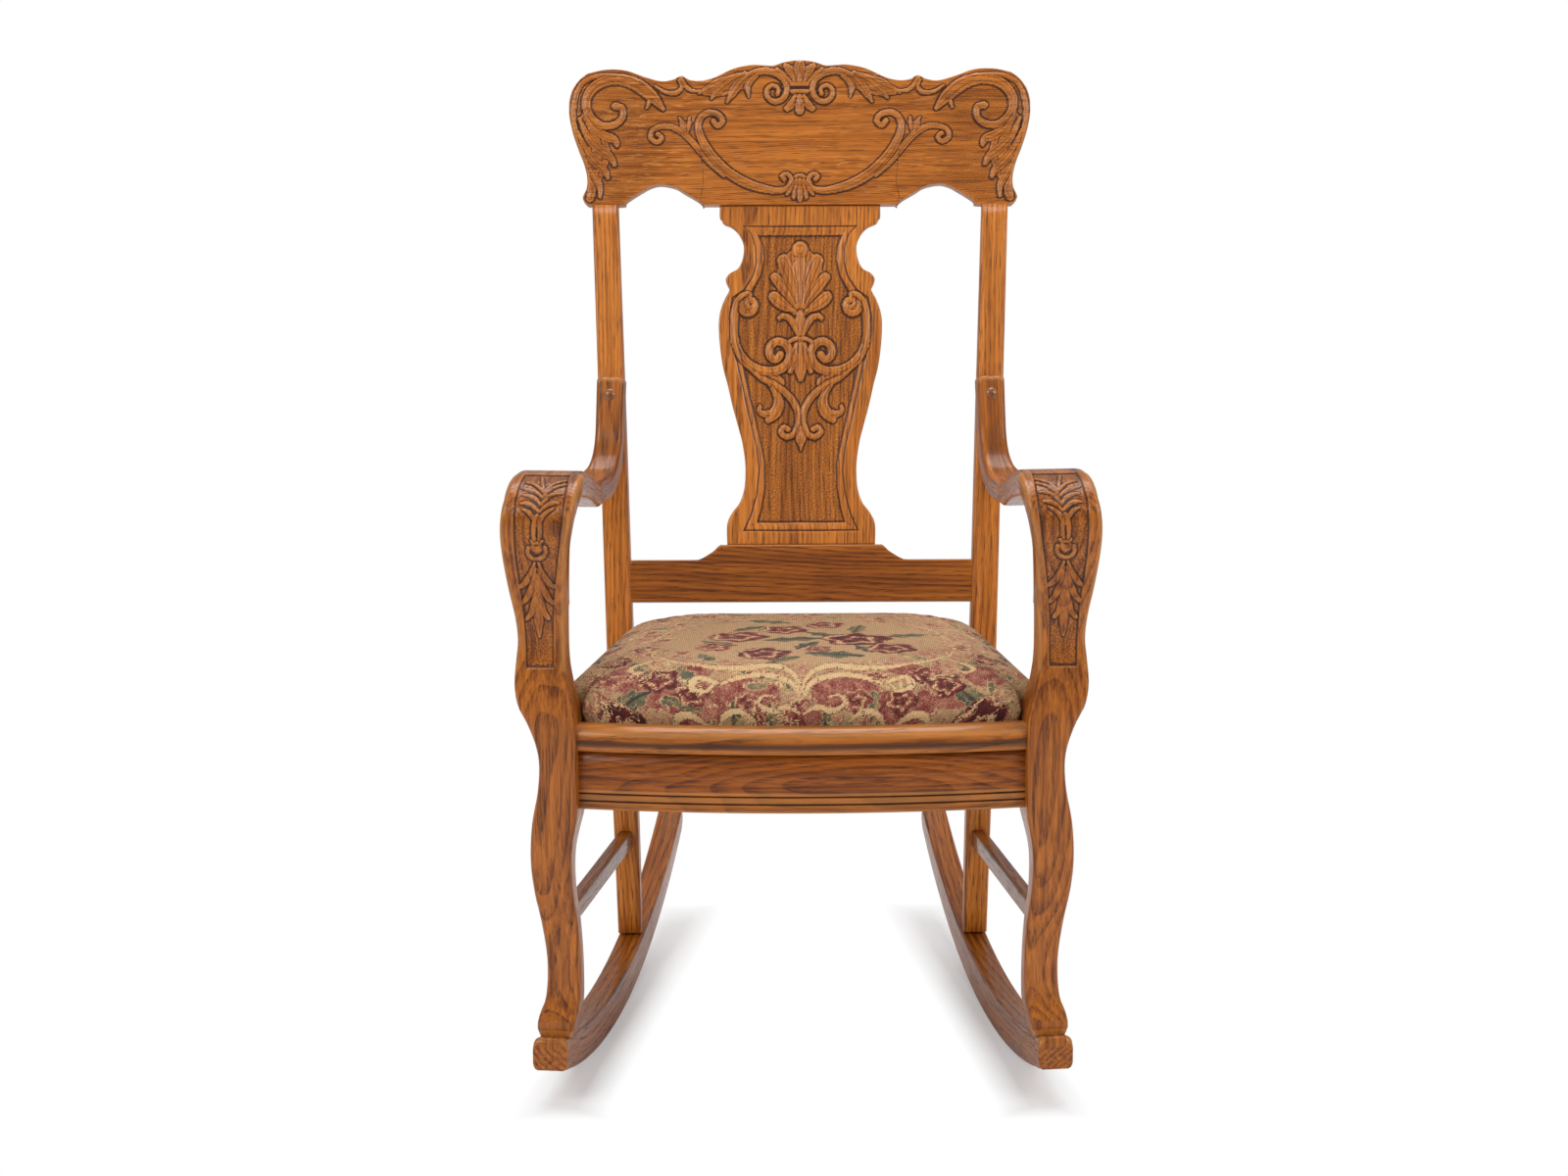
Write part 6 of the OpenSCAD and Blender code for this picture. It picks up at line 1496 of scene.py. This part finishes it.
# Four values at each place: tone, from burgundy through tan to slate, pale gold, dark outline, and how busy it is
def wovenPattern(spots, setup):
    chance = np.random.default_rng(setup["seed"])
    x, y = spots[:, 0], spots[:, 1]
    inOval = ovalShare(x, y) < 1
    tone = np.where(inOval, 0.0, -0.08)
    gold, ink = np.where(inOval, 0.22, 0.05), np.zeros(len(spots))
    busy = 1 - smoothStep(-ovalShare(x, y), -1.05, -0.9)
    for cx, cy, wide, deep in rosePatches:
        soft = np.exp(-((x - cx) / wide) ** 2 - ((y - cy) / deep) ** 2)
        rose = soft > setup["roseEdge"]
        tone = np.where(rose, np.minimum(tone, setup["roseTone"]), tone)
        busy = np.where(rose, 0.25, busy)
        ink = np.maximum(ink, 0.5 * bell(soft - setup["roseEdge"], 0.05))
    for _ in range(setup["sprigs"]):
        cx, cy = chance.uniform(-240, 240), chance.uniform(-40, 410)
        turn, size = chance.uniform(0, math.pi), chance.uniform(7, 19)
        if ovalShare(cx, cy) < 0.98:
            continue
        u, v = turned(x, y, cx, cy, turn)
        body = 1 - np.hypot(u / size, v / (0.46 * size)) * (1 + 0.2 * np.sin(u * 1.1 + turn * 9))
        kind = chance.choice([-0.56, -0.46, -0.36, 0.36, 0.55])
        tone = np.where(body > 0, kind, tone)
        gold = np.maximum(gold, 0.75 * bell(body, 0.22) * (v > 0))
    for cx, cy, length, width, turn, kind in leaves:
        u, v = turned(x, y, cx, cy, math.radians(turn))
        u, v = u / (length / 2), v / (width / 2)
        body = (1 - u * u) * (1 + 0.22 * np.sin(u * 9 + kind * 7)) - np.abs(v)
        inside = (body > 0) & (np.abs(u) < 1)
        tone = np.where(inside, kind * (0.8 + 0.2 * np.sign(v)), tone)
        ink = np.where(inside, np.maximum(0.9 * bell(v, 0.16), 0.7 * bell(body, 0.12)), ink)
        gold = np.where(inside, 0.35 * (np.abs(v - 0.45) < 0.16), gold)
    for cx, cy, size, kind in blossoms:
        dx, dy = x - cx, y - cy
        away, turn = np.hypot(dx, dy * 1.08), np.arctan2(dy, dx)
        first, second = chance.uniform(0, 6.28, 2)
        share = away / (size * (1 + 0.07 * np.sin(5 * turn + first) + 0.05 * np.sin(8 * turn + second)))
        inside = share < 1
        petal = np.sin(5 * turn + first + 3.2 * share)
        rings = np.sin(share * 10 + 0.9 * petal + turn)
        tone = np.where(inside, kind * (0.78 + 0.22 * rings), tone)
        gold = np.where(inside, 0.62 * (rings < -0.62) * (share > 0.25), gold)
        ink = np.where(inside, 0.75 * (rings > 0.9) + 0.9 * (share < 0.14), ink)
        ink = np.maximum(ink, 0.6 * bell(share - 1, 0.07))
    for widths, line in scrolls:
        for side in (1, -1):
            near = lineNearness(spots * np.array([side, 1]), widths, line)
            inside = near < 1
            gold = np.where(inside, 0.95 - 0.3 * near, gold)
            tone, ink = np.where(inside, 0.0, tone), np.where(inside, 0.0, ink)
            ink = np.maximum(ink, 0.75 * bell(near - 1.25, 0.22))
    return np.stack([tone * 0.5 + 0.5, gold, ink, busy], -1)


# Where each point of the cover lies on the flat cloth, the sides laid outwards
def clothPlaces(points, outline, setup):
    plan = points[:, :2] / mm + np.array([0, chair["middleY"]])
    share = outlineShare(plan, outline, setup["centreY"])
    offset = plan - np.array([0, setup["centreY"]])
    out = offset / np.maximum(np.linalg.norm(offset, axis=1, keepdims=True), 1e-6)
    fall = np.clip(tapestry["crownEdge"] - points[:, 2] / mm, 0, 60) * smoothStep(share, 0.8, 0.97)
    return plan + out * (fall * tapestry["sideFall"])[:, None]


def tapestryMaterial(setup):
    material, tree, shader = newMaterial("floralTapestry")
    cloth, busy = attribute(tree, "cloth", "Vector"), attribute(tree, "pattern", "Alpha")
    part = addNode(tree, "ShaderNodeSeparateColor", {0: attribute(tree, "pattern", "Color")}).outputs
    split = splitVector(tree, cloth)
    rib, row = threads(tree, split[0], setup["ribWidth"]), threads(tree, split[1], setup["threadWidth"])
    dash = stretchedNoise(tree, cloth, (380, 1050, 1))
    spread = mapRange(tree, dash, 0.3, 0.7, -1.0, 1.0)
    blotch = noiseAt(tree, cloth, 85.0, 3.0)
    vine = noiseAt(tree, cloth, 58.0, 1.5, Distortion=1.4)
    moved = addNode(tree, "ShaderNodeMapping", {"Vector": cloth, "Location": (3, 7, 0)}).outputs[0]
    twig = noiseAt(tree, moved, 46.0, 1.5, Distortion=1.8)
    lines = []
    for source, thin in ((vine, 0.022), (twig, 0.011)):
        near = absolute(tree, subtract(tree, source, setup["outline"]))
        lines.append(multiply(tree, mapRange(tree, near, thin, thin * 0.4), busy))
    swing = multiply(tree, mapRange(tree, twig, 0.35, 0.65, -0.12, 0.12), mapRange(tree, busy, 0.0, 1.0, 0.3, 1.0))
    tone = add(tree, add(tree, part[0], multiply(tree, spread, 0.1)), swing)
    tone = add(tree, tone, mapRange(tree, blotch, 0.3, 0.7, -0.08, 0.08), clamp=True)
    ramp = addNode(tree, "ShaderNodeValToRGB", {0: tone})
    band = ramp.color_ramp
    while len(band.elements) < len(tapestryStops):
        band.elements.new(0.5)
    for element, (spot, colour) in zip(band.elements, tapestryStops):
        element.position, element.color = spot, colour + (1,)
    goldLines = larger(tree, part[1], multiply(tree, lines[0], 0.8))
    goldShare = mapRange(tree, add(tree, goldLines, multiply(tree, spread, 0.42)), 0.42, 0.62)
    colour = mixColour(tree, goldShare, ramp.outputs[0], setup["goldColour"])
    inkLines = larger(tree, part[2], lines[1])
    inkShare = mapRange(tree, subtract(tree, inkLines, multiply(tree, spread, 0.3)), 0.4, 0.62)
    colour = mixColour(tree, multiply(tree, inkShare, 0.8), colour, setup["inkColour"])
    high = add(tree, multiply(tree, rib, 0.6), multiply(tree, row, 0.4))
    high = add(tree, high, multiply(tree, goldShare, 0.25))
    shade = multiply(tree, mapRange(tree, high, 0.1, 0.9, 0.52, 1.12), mapRange(tree, dash, 0.25, 0.75, 0.72, 1.22))
    setInputs(tree, shader, {
        "Base Color": shaded(tree, colour, shade), "Normal": bumpNormal(tree, 0.7, 0.0006, high), "Roughness": 0.92,
        "Specular IOR Level": 0.2, "Sheen Weight": 0.06})
    return material


def coverCushion(setup):
    cover, outline = makeCushion(setup)
    mesh = cover.data
    flat = clothPlaces(meshPoints(mesh), outline, setup)
    addValues(mesh, "cloth", "FLOAT_VECTOR", np.column_stack([flat * mm, np.zeros(len(flat))]))
    addValues(mesh, "pattern", "FLOAT_COLOR", wovenPattern(flat, tapestry))
    mesh.materials.clear()
    mesh.materials.append(tapestryMaterial(tapestry))
    cover.vertex_groups.clear()
    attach(cover, "root")
    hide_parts("seat_cover")


coverCushion(cushion)
print("cushion made")


# Floor, backdrop and light: a pale room with soft lamps from both sides and above. To the camera the floor is
# white but for strips beside the runners, where a part of the shadow shows
stageSetup = {"floorColour": (0.93, 0.93, 0.935, 1), "floorSize": 14.0, "roomLight": 0.36,
              "shadowReach": 0.012, "whiteFrom": 0.05, "inward": 0.014, "leastWhite": 0.3}
lamps = {
    "leftLamp": {"place": (-2.6, -2.6, 2.9), "size": 2.2, "power": 68},
    "rightLamp": {"place": (2.9, -2.2, 2.5), "size": 2.0, "power": 52},
    "topLamp": {"place": (0.0, 0.6, 3.4), "size": 2.4, "power": 58},
}


def makeFloor(setup):
    floorMaterial, tree, shader = newMaterial("paleFloor")
    setInputs(tree, shader, {"Base Color": setup["floorColour"], "Roughness": 0.9})
    front, back = (sidePoint(runner["centreX"], y, 0).tolist() for y in (runner["front"], runner["back"]))
    x, y = splitVector(tree, objectPlace(tree))[:2]
    lineX = subtract(tree, mapRange(tree, y, front[1], back[1], front[0], back[0]), setup["inward"])
    aside = absolute(tree, subtract(tree, absolute(tree, x), lineX))
    beyond = larger(tree, subtract(tree, y, back[1]), subtract(tree, front[1] + 0.005, y))
    away = larger(tree, aside, beyond)
    white = addNode(tree, "ShaderNodeEmission", {"Color": (1, 1, 1, 1), "Strength": 1.0})
    seen = addNode(tree, "ShaderNodeLightPath").outputs["Is Camera Ray"]
    share = multiply(tree, mapRange(tree, away, setup["shadowReach"], setup["whiteFrom"], setup["leastWhite"]), seen)
    blend = addNode(tree, "ShaderNodeMixShader", {0: share, 1: shader.outputs[0], 2: white.outputs[0]})
    # Seen from below the floor is clear, so that the underside of the chair shows
    below = addNode(tree, "ShaderNodeNewGeometry").outputs["Backfacing"]
    clear = addNode(tree, "ShaderNodeBsdfTransparent")
    whole = addNode(tree, "ShaderNodeMixShader", {0: below, 1: blend.outputs[0], 2: clear.outputs[0]})
    output = next(node for node in tree.nodes if node.type == "OUTPUT_MATERIAL")
    tree.links.new(whole.outputs[0], output.inputs[0])
    mesh = bpy.data.meshes.new("floor")
    half = setup["floorSize"] / 2
    mesh.from_pydata([(-half, -half, 0), (half, -half, 0), (half, half, 0), (-half, half, 0)], [], [(0, 1, 2, 3)])
    mesh.materials.append(floorMaterial)
    addObject("floor", mesh)


def makeRoom(setup):
    world = bpy.data.worlds.new("room")
    scene.world = world
    world.use_nodes = True
    tree = world.node_tree
    tree.nodes.clear()
    path = addNode(tree, "ShaderNodeLightPath")
    light, seen = (addNode(tree, "ShaderNodeBackground", {"Color": (1, 1, 1, 1), "Strength": strength}).outputs[0]
                   for strength in (setup["roomLight"], 1.0))
    mix = addNode(tree, "ShaderNodeMixShader", {0: path.outputs["Is Camera Ray"], 1: light, 2: seen})
    addNode(tree, "ShaderNodeOutputWorld", {0: mix.outputs[0]})


def makeLamps(looks):
    for name, look in looks.items():
        data = bpy.data.lights.new(name, "AREA")
        data.shape, data.size, data.energy = "DISK", look["size"], look["power"]
        lamp = addObject(name, data)
        lamp.location = look["place"]
        lamp.rotation_euler = (Vector((0, 0, 0.55)) - Vector(look["place"])).to_track_quat("-Z", "Y").to_euler()


makeFloor(stageSetup)
makeRoom(stageSetup)
makeLamps(lamps)
scene.view_settings.view_transform = "Standard"
print("stage and lamps made")
